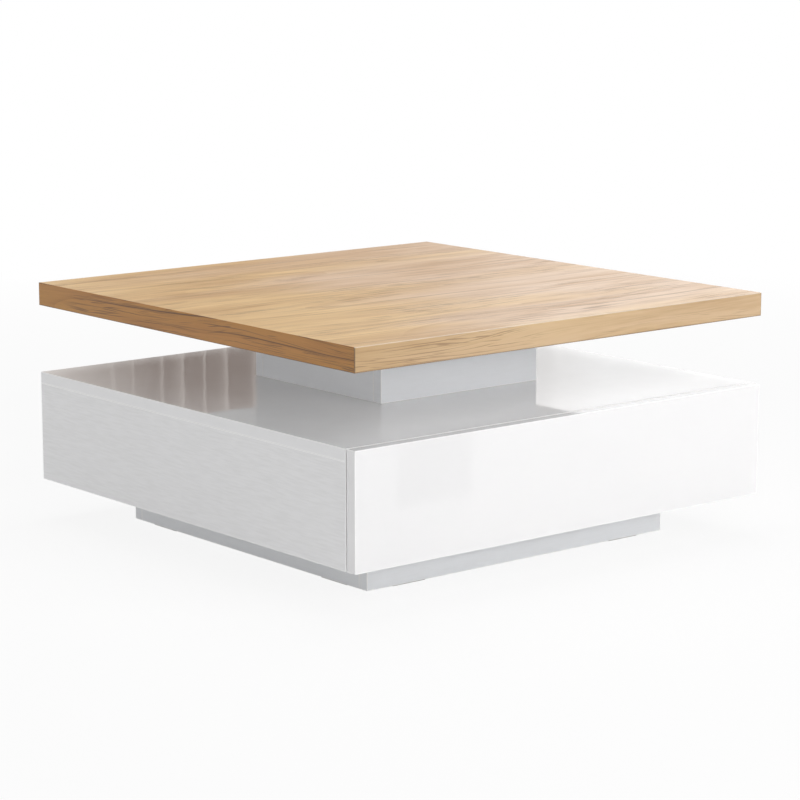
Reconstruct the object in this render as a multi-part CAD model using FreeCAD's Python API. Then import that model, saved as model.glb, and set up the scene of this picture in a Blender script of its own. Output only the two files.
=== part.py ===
import FreeCAD, Part
import math
import os

# Swivel coffee table: a square oak-look top that turns on a ball-bearing plate, a hollow
# pedestal, a white high-gloss box with one push-to-open drawer, and a set-back plinth.
# Millimetres. +Z is up, the floor is z = 0 and the swivel axis is x = y = 0.
# The drawer opens towards -Y.

# ---------------------------------------------------------------- overall sizes
TABLE_WIDTH = 800.0          # side of the square top, and of the box below it
TABLETOP_THICKNESS = 36.0
SHELF_HEIGHT = 107.0         # clear height between the box and the tabletop
BOX_HEIGHT = 173.5
PLINTH_HEIGHT = 62.0
PLINTH_SETBACK = 105.0       # of the plinth's faces behind the box's
BOARD = 18.0                 # boards of the box, the pedestal and the plinth
ARRIS = 0.6                  # rounding of the edges of the white boards

# ---------------------------------------------------------------- tabletop
FACING = 4.0                 # oak-look facings, above and below
EDGE_BAND = 1.0
EDGE_ROUND = 0.8
RAIL_WIDTH = 40.0
SWIVEL_BLOCK_MARGIN = 20.0   # of the block beyond the swivel plate
HONEYCOMB_PITCH = 50.0
HONEYCOMB_WALL = 0.6

# ---------------------------------------------------------------- swivel plate
SWIVEL_CORNER = 20.0
SWIVEL_PLATE = 2.0
BALL_DIAMETER = 7.0
BALL_COUNT = 24
RACE_DIAMETER = 210.0
RACE_DEPTH = 1.0             # how far a ball sinks into each plate
CAGE_WIDTH = 16.0
CAGE_THICKNESS = 2.0
CAGE_CLEARANCE = 0.2
PIVOT_DIAMETER = 18.0
PIVOT_BORE = 12.0
PIVOT_FLANGE = 30.0
PIVOT_FLANGE_THICKNESS = 1.2
PIVOT_RECESS = 40.0
UPPER_SCREW_GAP = 8.0        # between the ball cage and the heads of the upper plate's screws
UPPER_SCREW_INSET = 15.0     # of those screws from the plate's edge
LOWER_SCREW_INSET = 20.0
ACCESS_HOLE = 16.0
RUNNING_FIT = 0.05

# ---------------------------------------------------------------- fasteners
SCREW_DIAMETER = 4.0
SCREW_HEAD = 8.0
SCREW_HEAD_HEIGHT = 2.0
SCREW_BITE = 30.0            # depth of a screw in end grain
SCREW_MARGIN = 4.0           # board left in front of a screw's tip
FASTENER_FIT = 0.1
BORE_END = 1.0               # spare depth at the end of a bore
DOWEL_DIAMETER = 8.0
DOWEL_LENGTH = 30.0
DOWEL_MARGIN = 6.0           # board left behind a dowel in a face
CAM_DIAMETER = 15.0
CAM_DEPTH = 12.5
CAM_DISTANCE = 24.0
CAM_BOLT = 6.0
CAM_BOLT_BITE = 11.0
JOINT_INSET = 60.0           # first and last fitting of a row, from the board's end

# ---------------------------------------------------------------- pedestal and plinth
PEDESTAL_MARGIN = 16.0       # of the pedestal beyond the swivel plate
PEDESTAL_DOWEL_INSET = 20.0
BATTEN = 30.0
PLINTH_BLOCK = 30.0
PLINTH_BLOCK_HEIGHT = 45.0
PLINTH_SCREW_SHIFT = 7.5     # keeps the screws of a corner block clear of each other
PAD_THICKNESS = 1.5
PAD_WIDTH = 14.0
PAD_LENGTH = 60.0
PAD_INSET = 80.0

# ---------------------------------------------------------------- drawer
FRONT_GAP = 2.5              # behind the drawer front, for the press that opens it
DRAWER_BOARD = 12.0
DRAWER_FLOOR_GAP = 12.0
DRAWER_TOP_GAP = 11.5        # between the drawer's sides and the latches above them
DRAWER_REAR_GAP = 20.0
DRAWER_BOTTOM = 4.0
DRAWER_GROOVE_DEPTH = 5.0
DRAWER_GROOVE_HEIGHT = 10.0
DRAWER_GROOVE_FIT = 0.2
DRAWER_DOWEL_DIAMETER = 6.0
DRAWER_DOWEL_LENGTH = 26.0
DRAWER_DOWEL_DEPTH = 8.0
DRAWER_FITTING_INSET = 20.0
FRONT_SCREW_INSET = 77.3

# ---------------------------------------------------------------- runners
RUNNER_HEIGHT = 45.0
RUNNER_THICKNESS = 12.7
RUNNER_SHEET = 1.2
RUNNER_BALL = 3.0
RUNNER_WEB_GAP = 0.8
RUNNER_END_GAP = 3.0
RUNNER_BALL_COUNT = 10
RUNNER_BALL_PITCH = 10.0
RUNNER_SCREW_DIAMETER = 3.5
RUNNER_SCREW_HEAD = 6.5
RUNNER_SCREW_HEAD_HEIGHT = 0.7
RUNNER_SCREW_INSET = 130.0

# ---------------------------------------------------------------- push latches
LATCH_INSET = 162.0          # of the plungers from the box sides
LATCH_WIDTH = 16.0
LATCH_EAR = 10.0
LATCH_EAR_THICKNESS = 3.0
LATCH_LENGTH = 76.0
LATCH_HEIGHT = 14.0
LATCH_SETBACK = 6.0
LATCH_STROKE = 2.5
PLUNGER_DIAMETER = 8.0
PLUNGER_LENGTH = 50.0
PLUNGER_TIP_ROUND = 1.5
STRIKE_DIAMETER = 11.0
STRIKE_THICKNESS = 1.0

# ---------------------------------------------------------------- levels and planes
X = FreeCAD.Vector(1, 0, 0)
Y = FreeCAD.Vector(0, 1, 0)
Z = FreeCAD.Vector(0, 0, 1)

HALF = TABLE_WIDTH / 2
Z_PLINTH = PAD_THICKNESS
Z_BOX = Z_PLINTH + PLINTH_HEIGHT
Z_SHELF = Z_BOX + BOX_HEIGHT
Z_TABLETOP = Z_SHELF + SHELF_HEIGHT
Z_TABLE = Z_TABLETOP + TABLETOP_THICKNESS

BALL_RADIUS = BALL_DIAMETER / 2
RACE_RADIUS = RACE_DIAMETER / 2
PLATE_GAP = BALL_DIAMETER - 2 * RACE_DEPTH
SWIVEL_HEIGHT = 2 * SWIVEL_PLATE + PLATE_GAP
UPPER_SCREW_CIRCLE = RACE_DIAMETER + CAGE_WIDTH + SCREW_HEAD + 2 * UPPER_SCREW_GAP
SWIVEL_WIDTH = UPPER_SCREW_CIRCLE + 2 * UPPER_SCREW_INSET
SWIVEL_BLOCK_WIDTH = SWIVEL_WIDTH + 2 * SWIVEL_BLOCK_MARGIN
Z_SWIVEL = Z_TABLETOP - SWIVEL_HEIGHT
Z_RACE = Z_SWIVEL + SWIVEL_HEIGHT / 2

INNER = HALF - BOARD                         # inner faces of the box sides
Z_BOX_FLOOR = Z_BOX + BOARD
Z_BOX_CEILING = Z_SHELF - BOARD
Y_FRONT = -HALF + BOARD                      # back of the drawer front
Y_BOX = Y_FRONT + FRONT_GAP                  # front edges of the box
Y_BACK = HALF - BOARD
PEDESTAL_HALF = SWIVEL_WIDTH / 2 + PEDESTAL_MARGIN
PEDESTAL_INNER = PEDESTAL_HALF - BOARD
PLINTH_HALF = HALF - PLINTH_SETBACK
PLINTH_INNER = PLINTH_HALF - BOARD
Y_DIVIDER = PEDESTAL_INNER                   # the divider stands under the pedestal's back board

DRAWER_HALF = INNER - RUNNER_THICKNESS
DRAWER_INNER = DRAWER_HALF - DRAWER_BOARD
Y_DRAWER_BACK = Y_DIVIDER - DRAWER_REAR_GAP
Z_DRAWER = Z_BOX_FLOOR + DRAWER_FLOOR_GAP
Z_DRAWER_TOP = Z_BOX_CEILING - LATCH_HEIGHT - DRAWER_TOP_GAP
Z_GROOVE = Z_DRAWER + DRAWER_GROOVE_HEIGHT
Z_RUNNER = (Z_DRAWER + Z_DRAWER_TOP) / 2
Z_LATCH = Z_BOX_CEILING - LATCH_HEIGHT / 2
X_LATCH = INNER - LATCH_INSET


# ---------------------------------------------------------------- helpers
def block(x0, x1, y0, y1, z0, z1):
    """A plain box between two corners."""
    return Part.makeBox(x1 - x0, y1 - y0, z1 - z0, FreeCAD.Vector(x0, y0, z0))


def board(x0, x1, y0, y1, z0, z1):
    """A white board: a box with every edge rounded by the arris."""
    box = block(x0, x1, y0, y1, z0, z1)
    return box.makeFillet(ARRIS, box.Edges)


def rod(start, axis, length, diameter):
    """A cylinder from a point along an axis."""
    return Part.makeCylinder(diameter / 2, length, start, axis)


def at(x, y, z):
    return FreeCAD.Vector(x, y, z)


def row(low, high, count):
    """Evenly spaced values from low to high."""
    return [low + (high - low) * i / (count - 1) for i in range(count)]


def drilled(shape, bores):
    return shape.cut(bores)


def screw(seat, axis, length, diameter=SCREW_DIAMETER, head=SCREW_HEAD, height=SCREW_HEAD_HEIGHT):
    """A pan-head wood screw whose head seats at a point and whose shank runs along the axis."""
    tip_length = diameter
    shank = rod(seat, axis, length - tip_length, diameter)
    tip = Part.makeCone(diameter / 2, 0, tip_length, seat + axis * (length - tip_length), axis)
    cap = rod(seat - axis * height, axis, height, head)
    return shank.fuse([tip, cap]).removeSplitter()


def screw_bore(seat, axis, length, diameter=SCREW_DIAMETER):
    return rod(seat, axis, length + BORE_END, diameter + 2 * FASTENER_FIT)


def dowel(joint, axis, length=DOWEL_LENGTH, diameter=DOWEL_DIAMETER, face_depth=BOARD - DOWEL_MARGIN):
    """A dowel across a joint: face_depth of it lies in the face board, behind the joint."""
    return rod(joint - axis * face_depth, axis, length, diameter)


def dowel_bore(joint, axis, length=DOWEL_LENGTH, diameter=DOWEL_DIAMETER, face_depth=BOARD - DOWEL_MARGIN):
    return rod(joint - axis * face_depth, axis, length + BORE_END, diameter + 2 * FASTENER_FIT)


def cam_lock(joint, inward, face):
    """A cam disc, let in from one face of its board at a fixed distance from the joint."""
    seat = joint + inward * CAM_DISTANCE + face * (BOARD / 2 - CAM_DEPTH)
    return rod(seat, face, CAM_DEPTH, CAM_DIAMETER)


def cam_lock_bore(joint, inward, face):
    seat = joint + inward * CAM_DISTANCE + face * (BOARD / 2 - CAM_DEPTH)
    return rod(seat, face, CAM_DEPTH + BORE_END, CAM_DIAMETER + 2 * FASTENER_FIT)


def cam_bolt(joint, inward, spare=0.0, fit=0.0):
    """The bolt that the cam draws in: from the disc, across the joint, into the other board."""
    reach = CAM_DISTANCE - CAM_DIAMETER / 2
    start = joint + inward * reach
    return rod(start, inward * -1, reach + CAM_BOLT_BITE + spare, CAM_BOLT + 2 * fit)


def cam_bolt_bore(joint, inward):
    return cam_bolt(joint, inward, spare=BORE_END, fit=FASTENER_FIT)


# ---------------------------------------------------------------- places of the fasteners
def upper_swivel_seats():
    """Screws up through the upper plate into the tabletop, on a circle."""
    radius = UPPER_SCREW_CIRCLE / 2
    angles = [math.radians(90 * i) for i in range(4)]
    return [at(radius * math.cos(a), radius * math.sin(a), Z_TABLETOP - SWIVEL_PLATE) for a in angles]


def lower_swivel_seats():
    """Screws down through the lower plate's corners into the pedestal."""
    reach = SWIVEL_WIDTH / 2 - LOWER_SCREW_INSET
    return [at(sx * reach, sy * reach, Z_SWIVEL + SWIVEL_PLATE) for sx in (-1, 1) for sy in (-1, 1)]


def pedestal_screw_seats():
    """Screws up through the box's top panel into the corner battens."""
    reach = PEDESTAL_INNER - BATTEN / 2
    return [at(sx * reach, sy * reach, Z_BOX_CEILING) for sx in (-1, 1) for sy in (-1, 1)]


def access_point():
    """Where a screwdriver reaches the upper plate's screws when the top is turned."""
    reach = UPPER_SCREW_CIRCLE / 2 * math.cos(math.radians(45))
    return at(reach, reach, 0)


UPPER_SCREW_LENGTH = SWIVEL_PLATE + TABLETOP_THICKNESS - FACING - SCREW_MARGIN * 2
LOWER_SCREW_LENGTH = SWIVEL_PLATE + BOARD - SCREW_MARGIN
PEDESTAL_SCREW_LENGTH = BOARD + SCREW_BITE


def pedestal_dowel_joints():
    """Dowels of the pedestal: its corner joints and the edges of its top board."""
    levels = (Z_SHELF + PEDESTAL_DOWEL_INSET, Z_SWIVEL - BOARD - PEDESTAL_DOWEL_INSET)
    corner = PEDESTAL_HALF - BOARD / 2
    joints = []
    for sx in (-1, 1):
        for sy in (-1, 1):
            for level in levels:
                joints.append((at(sx * corner, sy * PEDESTAL_INNER, level), Y * -sy))
    for side in (-1, 1):
        for place in (-PEDESTAL_INNER / 2, PEDESTAL_INNER / 2):
            z = Z_SWIVEL - BOARD / 2
            joints.append((at(place, side * PEDESTAL_INNER, z), Y * -side))
            joints.append((at(side * PEDESTAL_INNER, place, z), X * -side))
    return joints


def box_dowel_joints():
    """Dowels of the box: back and divider into the sides and the bottom panel."""
    joints = []
    levels = row(Z_BOX_FLOOR + JOINT_INSET / 2, Z_BOX_CEILING - JOINT_INSET / 2, 2)
    for sx in (-1, 1):
        for y in (Y_BACK + BOARD / 2, Y_DIVIDER + BOARD / 2):
            for z in levels:
                joints.append((at(sx * INNER, y, z), X * -sx))
    for x in row(-INNER + JOINT_INSET, INNER - JOINT_INSET, 4):
        joints.append((at(x, Y_BACK, Z_BOX + BOARD / 2), Y * -1))
        joints.append((at(x, Y_DIVIDER + BOARD / 2, Z_BOX_FLOOR), Z))
    return joints


def box_cam_joints():
    """Cam fittings of the box as joint point, direction into the cam's board, cam's face."""
    joints = []
    for sx in (-1, 1):
        for y in row(Y_BOX + JOINT_INSET, Y_BACK - JOINT_INSET, 3):
            joints.append((at(sx * (INNER + BOARD / 2), y, Z_BOX_CEILING), Z * -1, X * -sx))
            joints.append((at(sx * INNER, y, Z_BOX + BOARD / 2), X * -sx, Z))
    for x in row(-INNER + JOINT_INSET * 2, INNER - JOINT_INSET * 2, 2):
        joints.append((at(x, Y_BACK + BOARD / 2, Z_BOX_CEILING), Z * -1, Y * -1))
        joints.append((at(x, Y_DIVIDER + BOARD / 2, Z_BOX_CEILING), Z * -1, Y))
    return joints


def plinth_screw_runs():
    """Screws through each corner block: up into the box, and sideways into both plinth boards."""
    runs = []
    centre = PLINTH_INNER - PLINTH_BLOCK / 2
    z_low = Z_BOX - PLINTH_BLOCK_HEIGHT
    sideways = PLINTH_BLOCK + BOARD - SCREW_MARGIN
    upwards = PLINTH_BLOCK_HEIGHT + BOARD - SCREW_MARGIN
    for sx in (-1, 1):
        for sy in (-1, 1):
            far = PLINTH_INNER - PLINTH_BLOCK
            near = centre - PLINTH_SCREW_SHIFT
            away = centre + PLINTH_SCREW_SHIFT
            low = z_low + PLINTH_BLOCK_HEIGHT / 3
            high = Z_BOX - PLINTH_BLOCK_HEIGHT / 3
            runs.append((at(sx * near, sy * near, z_low), Z, upwards))
            runs.append((at(sx * far, sy * away, low), X * sx, sideways))
            runs.append((at(sx * away, sy * far, high), Y * sy, sideways))
    return runs


# ---------------------------------------------------------------- tabletop
def tabletop_core_half():
    return HALF - EDGE_BAND


def pivot_recess(z0, z1):
    return rod(at(0, 0, z0), Z, z1 - z0, PIVOT_RECESS)


def upper_swivel_bores():
    return [screw_bore(seat, Z, UPPER_SCREW_LENGTH) for seat in upper_swivel_seats()]


def tabletop_top_facing():
    half = tabletop_core_half()
    return block(-half, half, -half, half, Z_TABLE - FACING, Z_TABLE)


def tabletop_bottom_facing():
    half = tabletop_core_half()
    sheet = block(-half, half, -half, half, Z_TABLETOP, Z_TABLETOP + FACING)
    return drilled(sheet, [pivot_recess(Z_TABLETOP, Z_TABLETOP + FACING)] + upper_swivel_bores())


def tabletop_long_rails():
    """The hidden frame's front and back rails, which run the full width."""
    half = tabletop_core_half()
    inner = half - RAIL_WIDTH
    z0, z1 = Z_TABLETOP + FACING, Z_TABLE - FACING
    places = ((-half, -inner), (inner, half))
    return Part.makeCompound([block(-half, half, y0, y1, z0, z1) for y0, y1 in places])


def tabletop_short_rails():
    """The frame's left and right rails, between the long ones."""
    half = tabletop_core_half()
    inner = half - RAIL_WIDTH
    z0, z1 = Z_TABLETOP + FACING, Z_TABLE - FACING
    places = ((-half, -inner), (inner, half))
    return Part.makeCompound([block(x0, x1, -inner, inner, z0, z1) for x0, x1 in places])


def tabletop_swivel_block():
    half = SWIVEL_BLOCK_WIDTH / 2
    solid = block(-half, half, -half, half, Z_TABLETOP + FACING, Z_TABLE - FACING)
    return drilled(solid, upper_swivel_bores())


def square_wire(half, z):
    corners = [at(-half, -half, z), at(half, -half, z), at(half, half, z), at(-half, half, z)]
    return Part.makePolygon(corners + corners[:1])


def square_ring(outer, inner, z):
    return Part.Face(square_wire(outer, z)).cut(Part.Face(square_wire(inner, z)))


def honeycomb_cells(outer, inner, z):
    """Hexagonal cells in the square ring between the frame and the swivel block, clipped there."""
    ring = square_ring(outer, inner, z)
    sliver = HONEYCOMB_PITCH * HONEYCOMB_WALL
    radius = (HONEYCOMB_PITCH - HONEYCOMB_WALL) / math.sqrt(3)
    row_step = HONEYCOMB_PITCH * math.sqrt(3) / 2
    rows = int(outer / row_step) + 1
    columns = int(outer / HONEYCOMB_PITCH) + 1
    corners = [math.radians(60 * i + 30) for i in range(7)]
    wires = []
    for j in range(-rows, rows + 1):
        for i in range(-columns, columns + 1):
            x = (i + (j % 2) / 2) * HONEYCOMB_PITCH
            y = j * row_step
            reach = max(abs(x), abs(y))
            points = [at(x + radius * math.cos(a), y + radius * math.sin(a), z) for a in corners]
            wire = Part.makePolygon(points)
            if inner + radius < reach < outer - radius:
                wires.append(wire)
            elif inner - radius < reach < outer + radius:
                clipped = Part.Face(wire).common(ring).Faces
                wires += [cell.OuterWire for cell in clipped if cell.Area > sliver]
    return wires


def tabletop_honeycomb():
    outer = tabletop_core_half() - RAIL_WIDTH
    inner = SWIVEL_BLOCK_WIDTH / 2
    z = Z_TABLETOP + FACING
    cells = honeycomb_cells(outer - HONEYCOMB_WALL, inner + HONEYCOMB_WALL, z)
    face = Part.makeFace([square_wire(outer, z), square_wire(inner, z)] + cells, "Part::FaceMakerBullseye")
    return face.extrude(Z * (TABLETOP_THICKNESS - 2 * FACING))


def tabletop_edge(side, along_x):
    """An edge band with its outer long edges rounded; the bands along X cover the others' ends."""
    half = tabletop_core_half()
    low, high = sorted((side * half, side * HALF))
    radius = min(EDGE_ROUND, EDGE_BAND * 0.9)   # limited by the band
    if along_x:
        band = block(-HALF, HALF, low, high, Z_TABLETOP, Z_TABLE)
        edges = [e for e in band.Edges if all(abs(v.Y - side * HALF) < 1e-6 for v in e.Vertexes)]
        return band.makeFillet(radius, edges)
    band = block(low, high, -half, half, Z_TABLETOP, Z_TABLE)
    edges = [e for e in band.Edges if all(abs(v.X - side * HALF) < 1e-6 for v in e.Vertexes)]
    edges = [e for e in edges if abs(e.Vertexes[0].Z - e.Vertexes[1].Z) < 1e-6]
    return band.makeFillet(radius, edges)


# ---------------------------------------------------------------- swivel plate
def swivel_plate(z):
    """A square steel plate with rounded corners, a ball race and a centre hole."""
    half = SWIVEL_WIDTH / 2
    plate = block(-half, half, -half, half, z, z + SWIVEL_PLATE)
    upright = [e for e in plate.Edges if abs(e.Vertexes[0].Z - e.Vertexes[1].Z) > 1e-6]
    plate = plate.makeFillet(SWIVEL_CORNER, upright)
    race = Part.makeTorus(RACE_RADIUS, BALL_RADIUS + RUNNING_FIT, at(0, 0, Z_RACE))
    hole = rod(at(0, 0, z), Z, SWIVEL_PLATE, PIVOT_DIAMETER + 2 * RUNNING_FIT)
    return plate.cut([race, hole])


def swivel_upper_plate():
    bores = [screw_bore(seat - Z * BORE_END, Z, UPPER_SCREW_LENGTH) for seat in upper_swivel_seats()]
    return drilled(swivel_plate(Z_TABLETOP - SWIVEL_PLATE), bores)


def swivel_lower_plate():
    bores = [screw_bore(seat + Z * BORE_END, Z * -1, LOWER_SCREW_LENGTH) for seat in lower_swivel_seats()]
    access = rod(access_point() + Z * Z_SWIVEL, Z, SWIVEL_PLATE, ACCESS_HOLE)
    return drilled(swivel_plate(Z_SWIVEL), bores + [access])


def ball_centres():
    angles = [2 * math.pi * i / BALL_COUNT for i in range(BALL_COUNT)]
    return [at(RACE_RADIUS * math.cos(a), RACE_RADIUS * math.sin(a), Z_RACE) for a in angles]


def swivel_balls():
    return Part.makeCompound([Part.makeSphere(BALL_RADIUS, centre) for centre in ball_centres()])


def swivel_ball_cage():
    z = Z_RACE - CAGE_THICKNESS / 2
    outer = rod(at(0, 0, z), Z, CAGE_THICKNESS, RACE_DIAMETER + CAGE_WIDTH)
    inner = rod(at(0, 0, z), Z, CAGE_THICKNESS, RACE_DIAMETER - CAGE_WIDTH)
    pocket = BALL_DIAMETER + 2 * CAGE_CLEARANCE
    pockets = [rod(at(c.x, c.y, z), Z, CAGE_THICKNESS, pocket) for c in ball_centres()]
    return outer.cut([inner] + pockets)


def swivel_pivot_rivet():
    """A hollow rivet that keeps the plates together: fast in the lower one, free in the upper."""
    low = Z_SWIVEL - PIVOT_FLANGE_THICKNESS
    high = Z_TABLETOP + 2 * RUNNING_FIT
    tube = rod(at(0, 0, low), Z, high + PIVOT_FLANGE_THICKNESS - low, PIVOT_DIAMETER)
    bottom = rod(at(0, 0, low), Z, PIVOT_FLANGE_THICKNESS, PIVOT_FLANGE)
    top = rod(at(0, 0, high), Z, PIVOT_FLANGE_THICKNESS, PIVOT_FLANGE)
    bore = rod(at(0, 0, low), Z, high + PIVOT_FLANGE_THICKNESS - low, PIVOT_BORE)
    return tube.fuse([bottom, top]).cut(bore).removeSplitter()


def swivel_upper_screws():
    return Part.makeCompound([screw(seat, Z, UPPER_SCREW_LENGTH) for seat in upper_swivel_seats()])


def swivel_lower_screws():
    return Part.makeCompound([screw(seat, Z * -1, LOWER_SCREW_LENGTH) for seat in lower_swivel_seats()])


# ---------------------------------------------------------------- pedestal
def pedestal_bores():
    bores = [dowel_bore(joint, axis) for joint, axis in pedestal_dowel_joints()]
    bores += [screw_bore(seat, Z, PEDESTAL_SCREW_LENGTH) for seat in pedestal_screw_seats()]
    return bores


def pedestal_wide_board(side):
    """The front or back board, which covers the ends of the side boards."""
    low, high = sorted((side * PEDESTAL_INNER, side * PEDESTAL_HALF))
    return drilled(board(-PEDESTAL_HALF, PEDESTAL_HALF, low, high, Z_SHELF, Z_SWIVEL), pedestal_bores())


def pedestal_side_board(side):
    low, high = sorted((side * PEDESTAL_INNER, side * PEDESTAL_HALF))
    return drilled(board(low, high, -PEDESTAL_INNER, PEDESTAL_INNER, Z_SHELF, Z_SWIVEL), pedestal_bores())


def pedestal_top_board():
    half = PEDESTAL_INNER
    panel = block(-half, half, -half, half, Z_SWIVEL - BOARD, Z_SWIVEL)
    bores = [screw_bore(seat, Z * -1, LOWER_SCREW_LENGTH) for seat in lower_swivel_seats()]
    bores.append(pivot_recess(Z_SWIVEL - BOARD, Z_SWIVEL))
    bores.append(rod(access_point() + Z * (Z_SWIVEL - BOARD), Z, BOARD, ACCESS_HOLE))
    return drilled(panel, bores + pedestal_bores())


def pedestal_battens():
    z0, z1 = Z_SHELF, Z_SWIVEL - BOARD
    battens = []
    for sx in (-1, 1):
        for sy in (-1, 1):
            x0, x1 = sorted((sx * (PEDESTAL_INNER - BATTEN), sx * PEDESTAL_INNER))
            y0, y1 = sorted((sy * (PEDESTAL_INNER - BATTEN), sy * PEDESTAL_INNER))
            battens.append(drilled(block(x0, x1, y0, y1, z0, z1), pedestal_bores()))
    return Part.makeCompound(battens)


# ---------------------------------------------------------------- box
def box_bores():
    bores = [dowel_bore(joint, axis) for joint, axis in box_dowel_joints()]
    for joint, inward, face in box_cam_joints():
        bores.append(cam_lock_bore(joint, inward, face))
        bores.append(cam_bolt_bore(joint, inward))
    bores += [screw_bore(seat, Z, PEDESTAL_SCREW_LENGTH) for seat in pedestal_screw_seats()]
    bores += [screw_bore(seat, axis, length) for seat, axis, length in plinth_screw_runs()]
    bores += cabinet_screw_bores()
    return bores


def box_top_panel():
    return drilled(board(-HALF, HALF, Y_BOX, HALF, Z_BOX_CEILING, Z_SHELF), box_bores())


def box_side(side):
    low, high = sorted((side * INNER, side * HALF))
    return drilled(board(low, high, Y_BOX, HALF, Z_BOX, Z_BOX_CEILING), box_bores())


def box_bottom_panel():
    return drilled(board(-INNER, INNER, Y_BOX, Y_BACK, Z_BOX, Z_BOX_FLOOR), box_bores())


def box_back_panel():
    return drilled(board(-INNER, INNER, Y_BACK, HALF, Z_BOX, Z_BOX_CEILING), box_bores())


def box_divider():
    panel = block(-INNER, INNER, Y_DIVIDER, Y_DIVIDER + BOARD, Z_BOX_FLOOR, Z_BOX_CEILING)
    return drilled(panel, box_bores())


def box_cam_locks():
    return Part.makeCompound([cam_lock(*place) for place in box_cam_joints()])


def box_cam_bolts():
    return Part.makeCompound([cam_bolt(joint, inward) for joint, inward, face in box_cam_joints()])


def wooden_dowels():
    joints = pedestal_dowel_joints() + box_dowel_joints()
    return Part.makeCompound([dowel(joint, axis) for joint, axis in joints])


# ---------------------------------------------------------------- plinth
def plinth_bores():
    return [screw_bore(seat, axis, length) for seat, axis, length in plinth_screw_runs()]


def plinth_wide_board(side):
    """The front or back board, which covers the ends of the side boards."""
    low, high = sorted((side * PLINTH_INNER, side * PLINTH_HALF))
    return drilled(board(-PLINTH_HALF, PLINTH_HALF, low, high, Z_PLINTH, Z_BOX), plinth_bores())


def plinth_side_board(side):
    low, high = sorted((side * PLINTH_INNER, side * PLINTH_HALF))
    return drilled(board(low, high, -PLINTH_INNER, PLINTH_INNER, Z_PLINTH, Z_BOX), plinth_bores())


def plinth_corner_blocks():
    blocks = []
    for sx in (-1, 1):
        for sy in (-1, 1):
            x0, x1 = sorted((sx * (PLINTH_INNER - PLINTH_BLOCK), sx * PLINTH_INNER))
            y0, y1 = sorted((sy * (PLINTH_INNER - PLINTH_BLOCK), sy * PLINTH_INNER))
            solid = block(x0, x1, y0, y1, Z_BOX - PLINTH_BLOCK_HEIGHT, Z_BOX)
            blocks.append(drilled(solid, plinth_bores()))
    return Part.makeCompound(blocks)


def base_screws():
    """The long screws of the base: box to pedestal battens, and plinth blocks to box and boards."""
    screws = [screw(seat, Z, PEDESTAL_SCREW_LENGTH) for seat in pedestal_screw_seats()]
    screws += [screw(seat, axis, length) for seat, axis, length in plinth_screw_runs()]
    return Part.makeCompound(screws)


def plinth_pads():
    """Felt strips under the plinth boards, two on each."""
    middle = PLINTH_HALF - BOARD / 2
    place = PLINTH_HALF - PAD_INSET
    pads = []
    for side in (-1, 1):
        for end in (-1, 1):
            for cx, cy, dx, dy in (
                (end * place, side * middle, PAD_LENGTH, PAD_WIDTH),
                (side * middle, end * place, PAD_WIDTH, PAD_LENGTH),
            ):
                pads.append(block(cx - dx / 2, cx + dx / 2, cy - dy / 2, cy + dy / 2, 0, PAD_THICKNESS))
    return Part.makeCompound(pads)


# ---------------------------------------------------------------- drawer
def front_screw_seats():
    quarter = (Z_DRAWER_TOP - Z_DRAWER) / 4
    levels = (Z_RUNNER - quarter, Z_RUNNER + quarter)
    ends = (FRONT_SCREW_INSET - DRAWER_INNER, DRAWER_INNER - FRONT_SCREW_INSET)
    return [at(x, Y_FRONT + DRAWER_BOARD, z) for x in ends for z in levels]


FRONT_SCREW_LENGTH = DRAWER_BOARD + BOARD - SCREW_MARGIN


def drawer_dowel_joints():
    """Dowels from the drawer's sides into the ends of its inner front and back."""
    low = Z_GROOVE + DRAWER_BOTTOM + DRAWER_FITTING_INSET / 2
    high = Z_DRAWER_TOP - DRAWER_FITTING_INSET / 2
    joints = []
    for sx in (-1, 1):
        for y in (Y_FRONT + DRAWER_BOARD / 2, Y_DRAWER_BACK - DRAWER_BOARD / 2):
            for z in (low, high):
                joints.append((at(sx * DRAWER_INNER, y, z), X * -sx))
    return joints


def drawer_bores():
    size = (DRAWER_DOWEL_LENGTH, DRAWER_DOWEL_DIAMETER, DRAWER_DOWEL_DEPTH)
    bores = [dowel_bore(joint, axis, *size) for joint, axis in drawer_dowel_joints()]
    bores += [screw_bore(seat, Y * -1, FRONT_SCREW_LENGTH) for seat in front_screw_seats()]
    bores += drawer_screw_bores()
    return bores


def bottom_groove():
    """The groove for the drawer bottom, as a slab a little larger than the bottom."""
    half = DRAWER_INNER + DRAWER_GROOVE_DEPTH
    front = Y_FRONT + DRAWER_BOARD - DRAWER_GROOVE_DEPTH
    top = Z_GROOVE + DRAWER_BOTTOM
    return block(-half, half, front, Y_DRAWER_BACK + BORE_END, Z_GROOVE, top)


def drawer_front():
    return drilled(board(-HALF, HALF, -HALF, Y_FRONT, Z_BOX, Z_SHELF), drawer_bores())


def drawer_inner_front():
    panel = block(-DRAWER_INNER, DRAWER_INNER, Y_FRONT, Y_FRONT + DRAWER_BOARD, Z_DRAWER, Z_DRAWER_TOP)
    return drilled(panel, drawer_bores() + [bottom_groove()])


def drawer_side(side):
    low, high = sorted((side * DRAWER_INNER, side * DRAWER_HALF))
    panel = block(low, high, Y_FRONT, Y_DRAWER_BACK, Z_DRAWER, Z_DRAWER_TOP)
    return drilled(panel, drawer_bores() + [bottom_groove()])


def drawer_back():
    """The back stands on the bottom, which slides in under it."""
    y0 = Y_DRAWER_BACK - DRAWER_BOARD
    z0 = Z_GROOVE + DRAWER_BOTTOM
    panel = block(-DRAWER_INNER, DRAWER_INNER, y0, Y_DRAWER_BACK, z0, Z_DRAWER_TOP)
    return drilled(panel, drawer_bores())


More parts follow.
